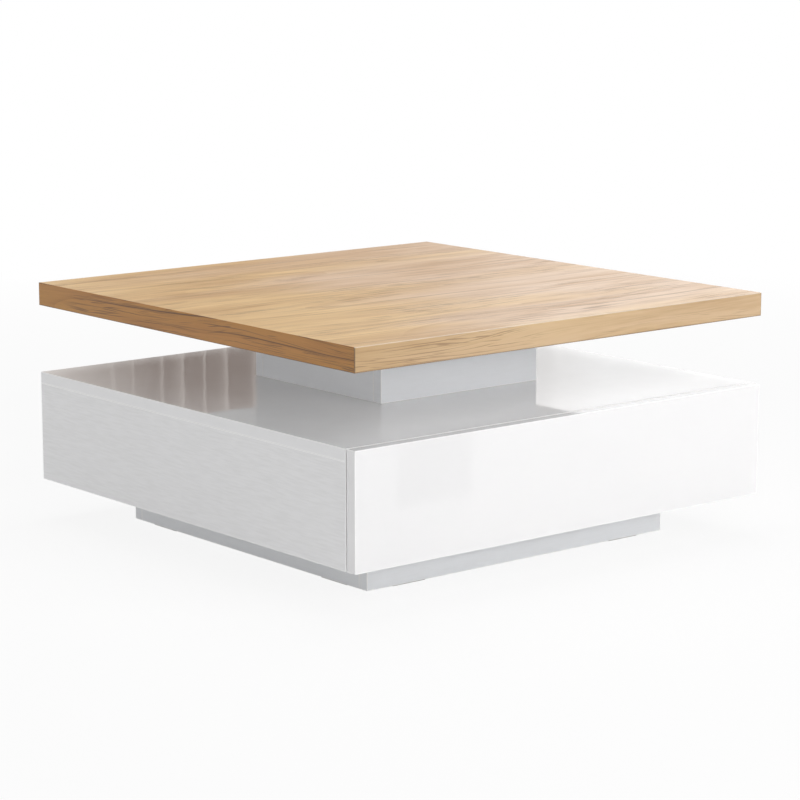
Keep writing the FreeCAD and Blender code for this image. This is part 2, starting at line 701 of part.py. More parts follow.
def drawer_bottom():
    half = DRAWER_INNER + DRAWER_GROOVE_DEPTH - DRAWER_GROOVE_FIT
    front = Y_FRONT + DRAWER_BOARD - DRAWER_GROOVE_DEPTH + DRAWER_GROOVE_FIT
    return block(-half, half, front, Y_DRAWER_BACK, Z_GROOVE, Z_GROOVE + DRAWER_BOTTOM)


def drawer_screws():
    """The four screws of the front and the small screws of the inner runner members."""
    screws = [screw(seat, Y * -1, FRONT_SCREW_LENGTH) for seat in front_screw_seats()]
    return Part.makeCompound(screws + small_screws(drawer_screw_runs(), DRAWER_SCREW_LENGTH))


def drawer_dowels():
    size = (DRAWER_DOWEL_LENGTH, DRAWER_DOWEL_DIAMETER, DRAWER_DOWEL_DEPTH)
    return Part.makeCompound([dowel(joint, axis, *size) for joint, axis in drawer_dowel_joints()])


# ---------------------------------------------------------------- runners
# A runner is drawn by its distance from the box side: 0 at the side, RUNNER_THICKNESS at the drawer.
def runner_member(side, near, far, height, web_near):
    """A channel of bent sheet between two distances, its web at the near or the far one."""
    y0, y1 = Y_BOX + RUNNER_END_GAP, Y_DRAWER_BACK
    outer = runner_block(side, near, far, y0, y1, height)
    if web_near:
        hollow = runner_block(side, near + RUNNER_SHEET, far, y0, y1, height - 2 * RUNNER_SHEET)
    else:
        hollow = runner_block(side, near, far - RUNNER_SHEET, y0, y1, height - 2 * RUNNER_SHEET)
    return outer.cut(hollow)


def runner_block(side, near, far, y0, y1, height):
    x0, x1 = sorted((side * (INNER - near), side * (INNER - far)))
    return block(x0, x1, y0, y1, Z_RUNNER - height / 2, Z_RUNNER + height / 2)


RUNNER_STEP = RUNNER_SHEET + RUNNER_BALL + 2 * RUNNING_FIT
MIDDLE_HEIGHT = RUNNER_HEIGHT - 2 * RUNNER_STEP
INNER_HEIGHT = MIDDLE_HEIGHT - 2 * RUNNER_STEP
MIDDLE_NEAR = RUNNER_SHEET + RUNNER_WEB_GAP
INNER_NEAR = MIDDLE_NEAR + RUNNER_SHEET + RUNNER_WEB_GAP
RUNNER_LIP = RUNNER_THICKNESS - RUNNER_SHEET - RUNNER_WEB_GAP
BALL_ROW = (INNER_NEAR + RUNNER_LIP) / 2


def runner_outer(side):
    """The member on the box side, opening towards the drawer."""
    channel = runner_member(side, 0, RUNNER_LIP, RUNNER_HEIGHT, True)
    return drilled(channel, cabinet_screw_bores())


def runner_middle(side):
    """The member between the two, which travels half as far as the drawer."""
    return runner_member(side, MIDDLE_NEAR, RUNNER_LIP, MIDDLE_HEIGHT, True)


def runner_inner(side):
    """The member on the drawer, opening towards the box side."""
    channel = runner_member(side, INNER_NEAR, RUNNER_THICKNESS, INNER_HEIGHT, False)
    return drilled(channel, drawer_screw_bores())


def runner_balls(side):
    """Ball rows of one runner: the outer stage at its rear end, the inner stage at its front."""
    x = side * (INNER - BALL_ROW)
    rear = Y_DRAWER_BACK - RUNNER_BALL_PITCH
    front = Y_BOX + RUNNER_END_GAP + RUNNER_BALL_PITCH
    stages = (
        (rear, -RUNNER_BALL_PITCH, MIDDLE_HEIGHT),
        (front, RUNNER_BALL_PITCH, INNER_HEIGHT),
    )
    balls = []
    for start, step, height in stages:
        reach = height / 2 + RUNNING_FIT + RUNNER_BALL / 2
        for i in range(RUNNER_BALL_COUNT):
            for level in (-reach, reach):
                balls.append(Part.makeSphere(RUNNER_BALL / 2, at(x, start + i * step, Z_RUNNER + level)))
    return Part.makeCompound(balls)


def runner_screw_places():
    return row(Y_BOX + RUNNER_SCREW_INSET, Y_DRAWER_BACK - RUNNER_SCREW_INSET, 3)


CABINET_SCREW_LENGTH = RUNNER_SHEET + BOARD - SCREW_MARGIN
DRAWER_SCREW_LENGTH = RUNNER_SHEET + DRAWER_BOARD - SCREW_MARGIN


def cabinet_screw_runs():
    """Screws through the outer members into the box sides, and up through the latches' ears."""
    x = INNER - RUNNER_SHEET
    runs = [(at(sx * x, y, Z_RUNNER), X * sx) for sx in (-1, 1) for y in runner_screw_places()]
    return runs + [(seat, Z) for seat in latch_screw_seats()]


def drawer_screw_runs():
    """Screws through the inner members into the drawer sides."""
    x = DRAWER_HALF + RUNNER_SHEET
    return [(at(sx * x, y, Z_RUNNER), X * -sx) for sx in (-1, 1) for y in runner_screw_places()]


def small_bores(runs, length):
    """Bores that start a little outside the seats, so that they clear the sheet under the heads."""
    size = (length + BORE_END, RUNNER_SCREW_DIAMETER)
    return [screw_bore(seat - axis * BORE_END, axis, *size) for seat, axis in runs]


def small_screws(runs, length):
    size = (length, RUNNER_SCREW_DIAMETER, RUNNER_SCREW_HEAD, RUNNER_SCREW_HEAD_HEIGHT)
    return [screw(seat, axis, *size) for seat, axis in runs]


def cabinet_screw_bores():
    return small_bores(cabinet_screw_runs(), CABINET_SCREW_LENGTH)


def drawer_screw_bores():
    return small_bores(drawer_screw_runs(), DRAWER_SCREW_LENGTH)


def cabinet_screws():
    return Part.makeCompound(small_screws(cabinet_screw_runs(), CABINET_SCREW_LENGTH))


# ---------------------------------------------------------------- push latches
Y_LATCH = Y_BOX + LATCH_SETBACK
Y_PLUNGER = Y_FRONT + STRIKE_THICKNESS


def latch_places():
    return (-X_LATCH, X_LATCH)


def latch_screw_seats():
    """Screws up through the ears of each latch, one on each side of it."""
    reach = (LATCH_WIDTH + LATCH_EAR) / 2
    z = Z_BOX_CEILING - LATCH_EAR_THICKNESS
    return [at(x + ear * reach, Y_LATCH + LATCH_LENGTH / 2, z) for x in latch_places() for ear in (-1, 1)]


def latch_housing(x):
    """A plastic body under the box's top panel, with ears and a blind bore for the plunger."""
    y1 = Y_LATCH + LATCH_LENGTH
    half = LATCH_WIDTH / 2
    body = block(x - half, x + half, Y_LATCH, y1, Z_BOX_CEILING - LATCH_HEIGHT, Z_BOX_CEILING)
    reach = half + LATCH_EAR
    ears = block(x - reach, x + reach, Y_LATCH, y1, Z_BOX_CEILING - LATCH_EAR_THICKNESS, Z_BOX_CEILING)
    depth = PLUNGER_LENGTH + Y_PLUNGER - Y_LATCH + LATCH_STROKE + BORE_END
    bore = rod(at(x, Y_LATCH, Z_LATCH), Y, depth, PLUNGER_DIAMETER + 2 * RUNNING_FIT)
    return body.fuse(ears).removeSplitter().cut([bore] + cabinet_screw_bores())


def latch_housings():
    return Part.makeCompound([latch_housing(x) for x in latch_places()])


def latch_plunger(side):
    """The plunger that the closed drawer holds in; its rounded tip meets the strike."""
    plunger = rod(at(side * X_LATCH, Y_PLUNGER, Z_LATCH), Y, PLUNGER_LENGTH, PLUNGER_DIAMETER)
    tip = [e for e in plunger.Edges if e.Length > PLUNGER_DIAMETER and e.CenterOfMass.y < Y_PLUNGER + 1e-6]
    return plunger.makeFillet(PLUNGER_TIP_ROUND, [e for e in tip if e.isClosed()])


def latch_strikes():
    return Part.makeCompound(
        [rod(at(x, Y_FRONT, Z_LATCH), Y, STRIKE_THICKNESS, STRIKE_DIAMETER) for x in latch_places()]
    )


# ---------------------------------------------------------------- all pieces
LEFT, RIGHT, FRONT, BACK = -1, 1, -1, 1

PIECES = {
    "tabletop_top_facing": tabletop_top_facing(),
    "tabletop_bottom_facing": tabletop_bottom_facing(),
    "tabletop_long_rails": tabletop_long_rails(),
    "tabletop_short_rails": tabletop_short_rails(),
    "tabletop_honeycomb": tabletop_honeycomb(),
    "tabletop_swivel_block": tabletop_swivel_block(),
    "tabletop_front_edge": tabletop_edge(FRONT, True),
    "tabletop_back_edge": tabletop_edge(BACK, True),
    "tabletop_left_edge": tabletop_edge(LEFT, False),
    "tabletop_right_edge": tabletop_edge(RIGHT, False),
    "swivel_upper_plate": swivel_upper_plate(),
    "swivel_lower_plate": swivel_lower_plate(),
    "swivel_balls": swivel_balls(),
    "swivel_ball_cage": swivel_ball_cage(),
    "swivel_pivot_rivet": swivel_pivot_rivet(),
    "swivel_upper_screws": swivel_upper_screws(),
    "swivel_lower_screws": swivel_lower_screws(),
    "pedestal_front_board": pedestal_wide_board(FRONT),
    "pedestal_back_board": pedestal_wide_board(BACK),
    "pedestal_left_board": pedestal_side_board(LEFT),
    "pedestal_right_board": pedestal_side_board(RIGHT),
    "pedestal_top_board": pedestal_top_board(),
    "pedestal_battens": pedestal_battens(),
    "wooden_dowels": wooden_dowels(),
    "box_top_panel": box_top_panel(),
    "box_left_side": box_side(LEFT),
    "box_right_side": box_side(RIGHT),
    "box_bottom_panel": box_bottom_panel(),
    "box_back_panel": box_back_panel(),
    "box_divider": box_divider(),
    "box_cam_locks": box_cam_locks(),
    "box_cam_bolts": box_cam_bolts(),
    "plinth_front_board": plinth_wide_board(FRONT),
    "plinth_back_board": plinth_wide_board(BACK),
    "plinth_left_board": plinth_side_board(LEFT),
    "plinth_right_board": plinth_side_board(RIGHT),
    "plinth_corner_blocks": plinth_corner_blocks(),
    "base_screws": base_screws(),
    "plinth_pads": plinth_pads(),
    "drawer_front": drawer_front(),
    "drawer_inner_front": drawer_inner_front(),
    "drawer_left_side": drawer_side(LEFT),
    "drawer_right_side": drawer_side(RIGHT),
    "drawer_back": drawer_back(),
    "drawer_bottom": drawer_bottom(),
    "drawer_dowels": drawer_dowels(),
    "drawer_screws": drawer_screws(),
    "cabinet_screws": cabinet_screws(),
    "latch_housings": latch_housings(),
    "latch_left_plunger": latch_plunger(LEFT),
    "latch_right_plunger": latch_plunger(RIGHT),
    "latch_strikes": latch_strikes(),
}
for name, side in (("left", LEFT), ("right", RIGHT)):
    PIECES[f"runner_{name}_outer"] = runner_outer(side)
    PIECES[f"runner_{name}_middle"] = runner_middle(side)
    PIECES[f"runner_{name}_inner"] = runner_inner(side)
    PIECES[f"runner_{name}_balls"] = runner_balls(side)

os.makedirs("parts", exist_ok=True)
for name, shape in PIECES.items():
    shape.exportStep(f"parts/{name}.step")
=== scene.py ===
import math

import bmesh
import bpy
import numpy as np
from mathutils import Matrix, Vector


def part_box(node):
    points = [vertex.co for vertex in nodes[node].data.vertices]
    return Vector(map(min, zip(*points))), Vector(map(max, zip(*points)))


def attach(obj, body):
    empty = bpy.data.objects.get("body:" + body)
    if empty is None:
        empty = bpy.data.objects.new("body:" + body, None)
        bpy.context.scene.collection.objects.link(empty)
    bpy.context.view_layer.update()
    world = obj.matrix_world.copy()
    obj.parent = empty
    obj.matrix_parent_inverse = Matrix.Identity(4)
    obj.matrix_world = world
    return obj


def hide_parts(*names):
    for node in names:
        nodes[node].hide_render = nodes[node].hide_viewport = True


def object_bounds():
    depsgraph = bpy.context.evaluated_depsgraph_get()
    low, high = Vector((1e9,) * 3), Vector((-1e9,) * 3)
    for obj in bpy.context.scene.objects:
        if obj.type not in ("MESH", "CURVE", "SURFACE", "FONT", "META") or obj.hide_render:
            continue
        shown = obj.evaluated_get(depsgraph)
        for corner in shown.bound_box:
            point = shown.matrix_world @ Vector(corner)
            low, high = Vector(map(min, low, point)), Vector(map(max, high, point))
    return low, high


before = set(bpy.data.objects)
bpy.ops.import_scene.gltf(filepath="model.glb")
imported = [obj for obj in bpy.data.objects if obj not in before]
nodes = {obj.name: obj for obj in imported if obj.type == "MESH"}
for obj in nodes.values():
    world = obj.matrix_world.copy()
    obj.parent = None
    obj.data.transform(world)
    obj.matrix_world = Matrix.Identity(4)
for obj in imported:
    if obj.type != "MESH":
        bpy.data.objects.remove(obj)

cad_low, cad_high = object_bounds()
MM = 0.001


# ------------------------ felt strips
# Eight strips of pressed wool felt, die-cut and glued under the plinth boards, so that the table
# slides on a hard floor without a scratch. Their cut edges are soft and a little furry.
FELT_ROUND = 0.5 * MM
FELT_GREY = (0.66, 0.65, 0.63, 1)
FELT_DARK = (0.42, 0.41, 0.39, 1)
SAME_PLACE = 1e-6


def solids_of(node):
    """The corners of a node's separate solids, each an array of points.

    Points in one place share a number, and every triangle gives its corners the lowest number
    among them, again and again, until no number changes."""
    mesh = nodes[node].data
    points = np.empty(len(mesh.vertices) * 3)
    mesh.vertices.foreach_get("co", points)
    places, number = np.unique(points.reshape(-1, 3).round(6), axis=0, return_inverse=True)
    mesh.calc_loop_triangles()
    corners = np.empty(len(mesh.loop_triangles) * 3, dtype=np.int64)
    mesh.loop_triangles.foreach_get("vertices", corners)
    triangles = number.reshape(-1)[corners].reshape(-1, 3)
    label = np.arange(len(places))
    while True:
        update = label.copy()
        np.minimum.at(update, triangles, label[triangles].min(axis=1, keepdims=True))
        if (update == label).all():
            return [places[label == mark] for mark in np.unique(label)]
        label = update


def rounded_block(low, high, radius, steps=3):
    """Grid of a box with rounded edges.

    Two angles run over a ball of the edge's radius, and each eighth of the ball moves out to its
    own corner of the box: point = centre + sign * (half - radius) + radius * direction."""
    low, high = np.array(low), np.array(high)
    quarter = np.linspace(0, math.pi / 2, steps + 1)
    turn = np.concatenate([quarter + math.pi / 2 * i for i in range(4)])
    lift = np.concatenate([quarter - math.pi / 2, quarter])
    v, u = np.meshgrid(lift, turn, indexing="ij")
    ball = np.stack([np.cos(v) * np.cos(u), np.cos(v) * np.sin(u), np.sin(v)], axis=-1)
    sign = np.empty_like(ball)
    sign[..., :2] = np.repeat([[1, 1], [-1, 1], [-1, -1], [1, -1]], steps + 1, axis=0)
    sign[..., 2] = np.repeat([-1, 1], steps + 1)[:, None]
    return (low + high) / 2 + sign * ((high - low) / 2 - radius) + ball * radius


def new_object(name, data):
    """An object in the scene."""
    item = bpy.data.objects.new(name, data)
    bpy.context.scene.collection.objects.link(item)
    return item


def skin(name, grids, sharp=35):
    """A piece from grids of points that close on themselves sideways.

    Neighbours in a grid make a quad. Doubled points merge, an open end is closed by one face, and
    faces point outwards. Edges that turn by more than the sharp angle, in degrees, stay crisp."""
    points, quads, start = [], [], 0
    for grid in grids:
        rows, columns = grid.shape[:2]
        number = start + np.arange(rows * columns).reshape(rows, columns)
        beside = np.roll(number, -1, axis=1)
        ring = np.stack([number[:-1], beside[:-1], beside[1:], number[1:]], axis=-1)
        quads.append(ring.reshape(-1, 4))
        points.append(grid.reshape(-1, 3))
        start += rows * columns
    mesh = bpy.data.meshes.new(name)
    mesh.from_pydata(np.concatenate(points), [], np.concatenate(quads))
    edit = bmesh.new()
    edit.from_mesh(mesh)
    bmesh.ops.remove_doubles(edit, verts=edit.verts, dist=SAME_PLACE)
    bmesh.ops.dissolve_degenerate(edit, edges=edit.edges, dist=SAME_PLACE / 10)
    bmesh.ops.holes_fill(edit, edges=edit.edges, sides=0)
    bmesh.ops.recalc_face_normals(edit, faces=edit.faces)
    edit.to_mesh(mesh)
    edit.free()
    mesh.shade_smooth()
    mesh.set_sharp_from_angle(angle=math.radians(sharp))
    return new_object(name, mesh)


def put(tree, kind, inputs=None, **settings):
    """A shader node with its settings, and its inputs filled with values or links."""
    node = tree.nodes.new("ShaderNode" + kind)
    for name, value in settings.items():
        setattr(node, name, value)
    for name, value in (inputs or {}).items():
        if isinstance(value, bpy.types.NodeSocket):
            tree.links.new(value, node.inputs[name])
        else:
            node.inputs[name].default_value = value
    return node


def calc(operation, *values):
    """One step of arithmetic on numbers and sockets, in the tree that the sockets are in."""
    tree = next(value.id_data for value in values if isinstance(value, bpy.types.NodeSocket))
    return put(tree, "Math", dict(enumerate(values)), operation=operation).outputs[0]


def vector(operation, place, *others):
    """One step of arithmetic on places."""
    inputs = dict(enumerate((place, *others)))
    return put(place.id_data, "VectorMath", inputs, operation=operation).outputs[0]


def spread(value, low, high, to_low=0.0, to_high=1.0):
    """A value from low to high, stretched evenly to a new range and held at its ends."""
    inputs = {"Value": value, "From Min": low, "From Max": high, "To Min": to_low, "To Max": to_high}
    return put(value.id_data, "MapRange", inputs).outputs[0]


def tint(share, first, second):
    """Two colours mixed by a share."""
    return put(share.id_data, "Mix", {0: share, 6: first, 7: second}, data_type="RGBA").outputs[2]


def lumps(place, counts, detail=2.0, roughness=0.5):
    """Noise with so many lumps per metre, along each axis or along all of them."""
    counts = counts if isinstance(counts, tuple) else (counts, counts, counts)
    scaled = vector("MULTIPLY", place, counts)
    inputs = {"Vector": scaled, "Scale": 1.0, "Detail": detail, "Roughness": roughness}
    return put(place.id_data, "TexNoise", inputs).outputs[0]


def new_group(name, inputs, outputs=("Color", "Roughness", "Height")):
    """Opens a shader node group and gives its inputs, the place first.

    A number makes a value input, three a vector and four a colour."""
    group = bpy.data.node_groups.new(name, "ShaderNodeTree")
    kinds = {3: "NodeSocketVector", 4: "NodeSocketColor"}
    for socket, value in {"Place": (0, 0, 0), **inputs}.items():
        kind = kinds[len(value)] if isinstance(value, tuple) else "NodeSocketFloat"
        group.interface.new_socket(socket, in_out="INPUT", socket_type=kind).default_value = value
    for socket in outputs:
        kind = "NodeSocketColor" if socket == "Color" else "NodeSocketFloat"
        group.interface.new_socket(socket, in_out="OUTPUT", socket_type=kind)
    return group.nodes.new("NodeGroupInput").outputs[:-1]


def close_group(*results):
    """Joins a group's results to its outputs, in their order, and gives the group."""
    group = results[0].id_data
    end = group.nodes.new("NodeGroupOutput")
    for number, value in enumerate(results):
        group.links.new(value, end.inputs[number])
    return group


def new_material(name):
    """A material with an empty tree."""
    material = bpy.data.materials.new(name)
    material.use_nodes = True
    material.node_tree.nodes.clear()
    return material, material.node_tree


def close_material(tree, look, color, depth, **shader):
    """A surface of a colour, with the Roughness and the Height that a look gives.

    Depth is how deep, in metres, a Height of one is. What the shader's own sockets take is given
    by name."""
    bump = put(tree, "Bump", {"Height": look["Height"], "Distance": depth}).outputs[0]
    inputs = {"Base Color": color, "Roughness": look["Roughness"], "Normal": bump}
    for socket, value in shader.items():
        inputs[socket.replace("_", " ")] = value
    put(tree, "OutputMaterial", {"Surface": put(tree, "BsdfPrincipled", inputs).outputs[0]})


def finish(name, group, values=None, depth=0.05 * MM, **shader):
    """A material that takes its look from a group at each place on the piece."""
    material, tree = new_material(name)
    place = put(tree, "TexCoord").outputs["Object"]
    look = put(tree, "Group", {"Place": place, **(values or {})}, node_tree=group).outputs
    close_material(tree, look, look["Color"], depth, **shader)
    return material


def dress(material, *names):
    """Gives CAD nodes a finish in place of their plain one."""
    for name in names:
        for holder in nodes[name].material_slots:
            holder.material = material


def fit(piece, material, body, slot, *replaced):
    """Gives a new piece its finish and its body, and hides the CAD nodes that it stands for.

    The slot is not used.
    """
    piece.data.materials.append(material)
    if replaced:
        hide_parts(*replaced)
    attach(piece, body)


def felt_group():
    """Matted fibres in two greys: fine noise in two stretched directions, one over the other."""
    place, pale, dark = new_group("pressed_felt", {"Pale": FELT_GREY, "Dark": FELT_DARK})
    fibres = calc("MAXIMUM", lumps(place, (900, 2600, 2600), 4), lumps(place, (2600, 900, 2600), 4))
    share = spread(fibres, 0.42, 0.72)
    color = tint(share, dark, pale)
    return close_group(color, spread(share, 0, 1, 0.9, 1.0), fibres)


felt = finish("pressed_felt", felt_group(), depth=0.5 * MM, Sheen_Weight=0.4, Sheen_Roughness=0.5)
strips = [rounded_block(solid.min(0), solid.max(0), FELT_ROUND) for solid in solids_of("plinth_pads")]
fit(skin("felt_strips", strips), felt, "base", "felt", "plinth_pads")


# ------------------------ plinth
# Four boards of lacquered fibreboard, the front and back ones covering the ends of the other two.
# They are sprayed white and polished, which leaves a faint orange peel. The pale rim at the edges
# is a painted highlight. The plinth's boards stand in shade under the box and get a brighter, bluer
# copy of the white, which paints in light and cool shade.
SIDES = ("front", "back", "left", "right")
WHITE = (0.885, 0.88, 0.884, 1)
# Painted light and shade: a brighter, bluer copy of the white for the plinth and pedestal boards, which
# stand in shade under the box and the top.
PAINTED_LIGHT_WHITE = (0.92, 0.935, 0.96, 1)
WHITE_DULL = (0.79, 0.79, 0.79, 1)
# Painted highlight: the colour of the bright rim along every board's edges.
PAINTED_RIM_HIGHLIGHT = (1.0, 1.0, 1.0, 1)
GLOSS = 0.02
RIM_WIDTH = 1.8 * MM
PEEL_DEPTH = 0.02 * MM
UNIT_BOX = {"Centre": (0, 0, 0), "Half": (1, 1, 1)}


def plus(first, second):
    """The sum of two numbers or sockets."""
    return calc("ADD", first, second)


def times(first, second):
    """The product of two numbers or sockets."""
    return calc("MULTIPLY", first, second)


def axes_of(place):
    """A place's distances along X, Y and Z."""
    return put(place.id_data, "SeparateXYZ", {0: place}).outputs


def edge_group():
    """How near a place on a box is to the box's nearest edge.

    Its distances to the three pairs of faces are half minus |place - centre|. On a face the least
    is nought, so the middle one is the distance to the edge, and it fades out over the width."""
    place, centre, half, width = new_group("board_edges", {**UNIT_BOX, "Width": RIM_WIDTH}, ("Edge",))
    size = vector("ABSOLUTE", vector("SUBTRACT", place, centre))
    x, y, z = axes_of(vector("SUBTRACT", half, size))
    middle = calc("MAXIMUM", calc("MINIMUM", x, y), calc("MINIMUM", calc("MAXIMUM", x, y), z))
    edge = calc("SUBTRACT", 1, calc("DIVIDE", middle, width))
    return close_group(spread(edge, 0, 1))


def edge_of(place, centre, half, width):
    """The nearness to the edge of a box with this centre and half size."""
    inputs = {"Place": place, "Centre": centre, "Half": half, "Width": width}
    return put(place.id_data, "Group", inputs, node_tree=board_edges).outputs[0]


def lacquer_group():
    """White lacquer: slow and fast orange peel, faint streaks drawn out by the spray, and cloudy
    wiping marks. At the board's edges a brighter rim is a painted highlight, standing in for the
    light that a rounded arris catches."""
    values = {**UNIT_BOX, "Film": WHITE, "Streaks": 0.2}
    place, centre, half, film, streaks = new_group("white_lacquer", values)
    drawn = lumps(place, (28, 28, 330), 3, 0.6)
    height = plus(times(lumps(place, 14, 1), 4), times(lumps(place, 260), 0.35))
    height = plus(height, times(drawn, streaks))
    edge = edge_of(place, centre, half, RIM_WIDTH)
    marks = times(spread(drawn, 0.38, 0.66, 0, 0.5), streaks)
    share = plus(marks, spread(lumps(place, (5, 5, 9), 3), 0.45, 0.8, 0, 0.12))
    # Painted highlight: near the edges the film turns to the bright rim colour.
    color = tint(spread(edge, 0.1, 0.5), tint(share, film, WHITE_DULL), PAINTED_RIM_HIGHLIGHT)
    smear = spread(lumps(place, (11, 11, 23), 4, 0.65), 0.5, 0.75, 0, 0.02)
    return close_group(color, plus(plus(GLOSS, smear), times(edge, 0.1)), height)


board_edges = edge_group()
lacquer = lacquer_group()


def box_of(name):
    """The lowest and the highest corner of a node."""
    return np.array(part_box(name))


def middle_and_half(low, high):
    """The inputs that tell a group where a box lies."""
    return {"Centre": tuple((low + high) / 2), "Half": tuple((high - low) / 2)}


def lacquer_boards(*names, **values):
    """Each board gets the lacquer with its own edges."""
    for name in names:
        box = middle_and_half(*box_of(name))
        dress(finish("lacquer_" + name, lacquer, {**box, **values}, PEEL_DEPTH), name)


# The plinth's boards get the brighter, bluer white of painted light and cool shade.
for side in SIDES:
    lacquer_boards(f"plinth_{side}_board", Film=PAINTED_LIGHT_WHITE)


# ------------------------ corner blocks
# Sawn beech blocks in the plinth's corners take the screws from the boards and hold the box. The
# wood is pale pink-brown with short dark rays, planed and left bare.
BEECH = (0.62, 0.4, 0.24, 1)
BEECH_DARK = (0.4, 0.22, 0.115, 1)


def beech_group():
    """Beech: slow bands, fine fibre, and short dark flecks where noise stretched along the grain
    rises above a limit. Along says which way the grain runs, by how little the wood changes."""
    values = {"Pale": BEECH, "Dark": BEECH_DARK, "Along": (1.0, 1.0, 0.06)}
    place, pale, dark, along = new_group("bare_beech", values)
    grain = vector("MULTIPLY", place, along)
    fibre = lumps(grain, 1900, 3)
    flecks = spread(lumps(grain, (900, 900, 3600), 1), 0.6, 0.68)
    tone = plus(times(lumps(grain, 160, 3), 0.7), times(fibre, 0.3))
    share = plus(spread(tone, 0.35, 0.7, 0, 0.55), times(flecks, 0.45))
    color = tint(share, pale, dark)
    return close_group(color, spread(fibre, 0.3, 0.7, 0.55, 0.75), tone)


beech_wood = beech_group()
upright_beech = finish("upright_beech", beech_wood, depth=0.3 * MM)
dress(upright_beech, "plinth_corner_blocks")


# ------------------------ long screws
# Zinc-plated chipboard screws: eight through the corner blocks into the plinth boards, four up into
# the box, and four through the box's top into the pedestal. Cold-headed, with a rolled thread.
ZINC = (0.56, 0.57, 0.58, 1)
ZINC_TINT = (0.49, 0.49, 0.465, 1)
THREAD_PITCH = 1.8 * MM
THREAD_ROOT = 0.7
THREAD_ROWS = 4
COLUMNS = 24
SLOT_FLOOR = 1.4
SLOT_REACH = 0.55
SLOT_WIDTH = 0.13
SLOT_DEPTH = 0.75
SLOT_TAPER = 0.4
HEAD_ROUND = 0.45
HEAD_RINGS = (0.8, 0.95)
HEAD_RIM = ((1.0, -0.38), (1.0, -0.15), (0.97, 0), (0.6, 0))
LONG_HEAD = 2.0 * MM
LONG_SCREW = 20 * MM


def round_z(size, angle, level):
    """Points at a distance from the Z axis, an angle round it and a level on it."""
    points = np.broadcast_arrays(size * np.cos(angle), size * np.sin(angle), level)
    return np.stack(points, axis=-1)


def turned(profile, columns=COLUMNS, cut=0):
    """A profile of radius and level carried round the Z axis, less a cut in some columns."""
    size, level = np.hsplit(np.array(profile), 2)
    return round_z(size - cut, np.arange(columns) / columns * 2 * math.pi, level)


def recess_rings(reach, half_width, *outer):
    """Radii of the rings of a face with a cross recess: two on the recess's floor, one round it, two
    at its arms' ends, one above the other, and the rest outside it."""
    return np.array([0, SLOT_FLOOR * half_width, math.sqrt(2) * half_width, reach, reach, *outer])


def cross_recess(ring, half_width, level, depth):
    """Grid of a face with a cross recess, from the radius, level and depth of each of its rings.

    A ring has six columns to a quarter: the arm's middle, the arm's edge twice, the diagonal, and
    the next arm's edge twice. The arm's edge lies at arcsin(half width / radius), or at the
    diagonal. The first two rings lie in the recess, and so do the arms of the next two."""
    edge = np.arcsin(np.minimum(half_width / np.maximum(ring, 1e-9), math.sin(math.pi / 4)))
    diagonal = np.full_like(edge, math.pi / 4)
    quarter = np.stack([0 * edge, edge, edge, diagonal, math.pi / 2 - edge, math.pi / 2 - edge], axis=-1)
    angle = np.concatenate([quarter + math.pi / 2 * i for i in range(4)], axis=-1)
    deep = np.zeros_like(angle)
    deep[:2] = 1
    deep[2:4, np.tile([True, True, False, False, False, True], 4)] = 1
    return round_z(ring[:, None], angle, level[:, None] + deep * depth[:, None])


def thread(radius, level, sharp=1, fade=1):
    """Rows of a thread: a ridge on the root that climbs one pitch in one turn.

    The ridge is one on its crest and falls evenly to nought half a pitch away. A sharper one falls
    so many times faster. A fade of nought leaves the bare root."""
    turn = np.arange(COLUMNS) / COLUMNS
    ridge = np.abs((level[:, None] / THREAD_PITCH - turn) % 1 - 0.5) * 2
    ridge = np.clip(ridge * sharp - (sharp - 1), 0, 1) * np.reshape(fade, (-1, 1))
    cut = radius * (1 - THREAD_ROOT) * (1 - ridge)
    return turned(np.stack([0 * level + radius, level], axis=-1), cut=cut)


def laid(grid, foot, axis):
    """A grid made along Z, laid along X, Y or Z with its level nought at the foot."""
    axis = axis / np.linalg.norm(axis)
    side = np.roll(axis, 1)
    return foot + grid[..., :1] * side + grid[..., 1:2] * np.cross(axis, side) + grid[..., 2:] * axis


def screw_grid(tip, seat, radius, head_radius, head_height):
    """Grid of a screw that runs from its head at seat to its point at tip.

    The head is a dome with a cross recess that gets shallower outwards, on a rim that narrows to
    the shank. The thread fades towards the head, and a cone makes the point."""
    length = np.linalg.norm(tip - seat)
    share = recess_rings(SLOT_REACH, SLOT_WIDTH, *HEAD_RINGS)
    dome = head_height * (HEAD_ROUND * share ** 2 - 1)
    depth = SLOT_DEPTH * head_height * (1 - SLOT_TAPER * share)
    top = cross_recess(share * head_radius, SLOT_WIDTH * head_radius, dome, depth)
    rim = turned(np.array(HEAD_RIM) * (head_radius, head_height))
    rows = int((length - 2 * radius) / THREAD_PITCH * THREAD_ROWS)
    level = np.linspace(0, length - 2 * radius, rows)
    shank = thread(radius, level, 2, np.clip(level / THREAD_PITCH, 0, 1))
    return laid(np.concatenate([top, rim, shank, turned([(0, length)])]), seat, tip - seat)


def rod_of(points):
    """A straight solid's two end centres, the wide end first, with its radius at each end."""
    low, high = points.min(0), points.max(0)
    way = np.argmax(high - low)
    ends = []
    for level in (low[way], high[way]):
        near = points[np.abs(points[:, way] - level) < 10 * SAME_PLACE]
        centre = (low + high) / 2
        centre[way] = level
        ends.append((np.linalg.norm(near - centre, axis=1).max(), centre))
    ends.sort(key=lambda end: -end[0])
    return ends[0][1], ends[1][1], ends[0][0], ends[1][0]


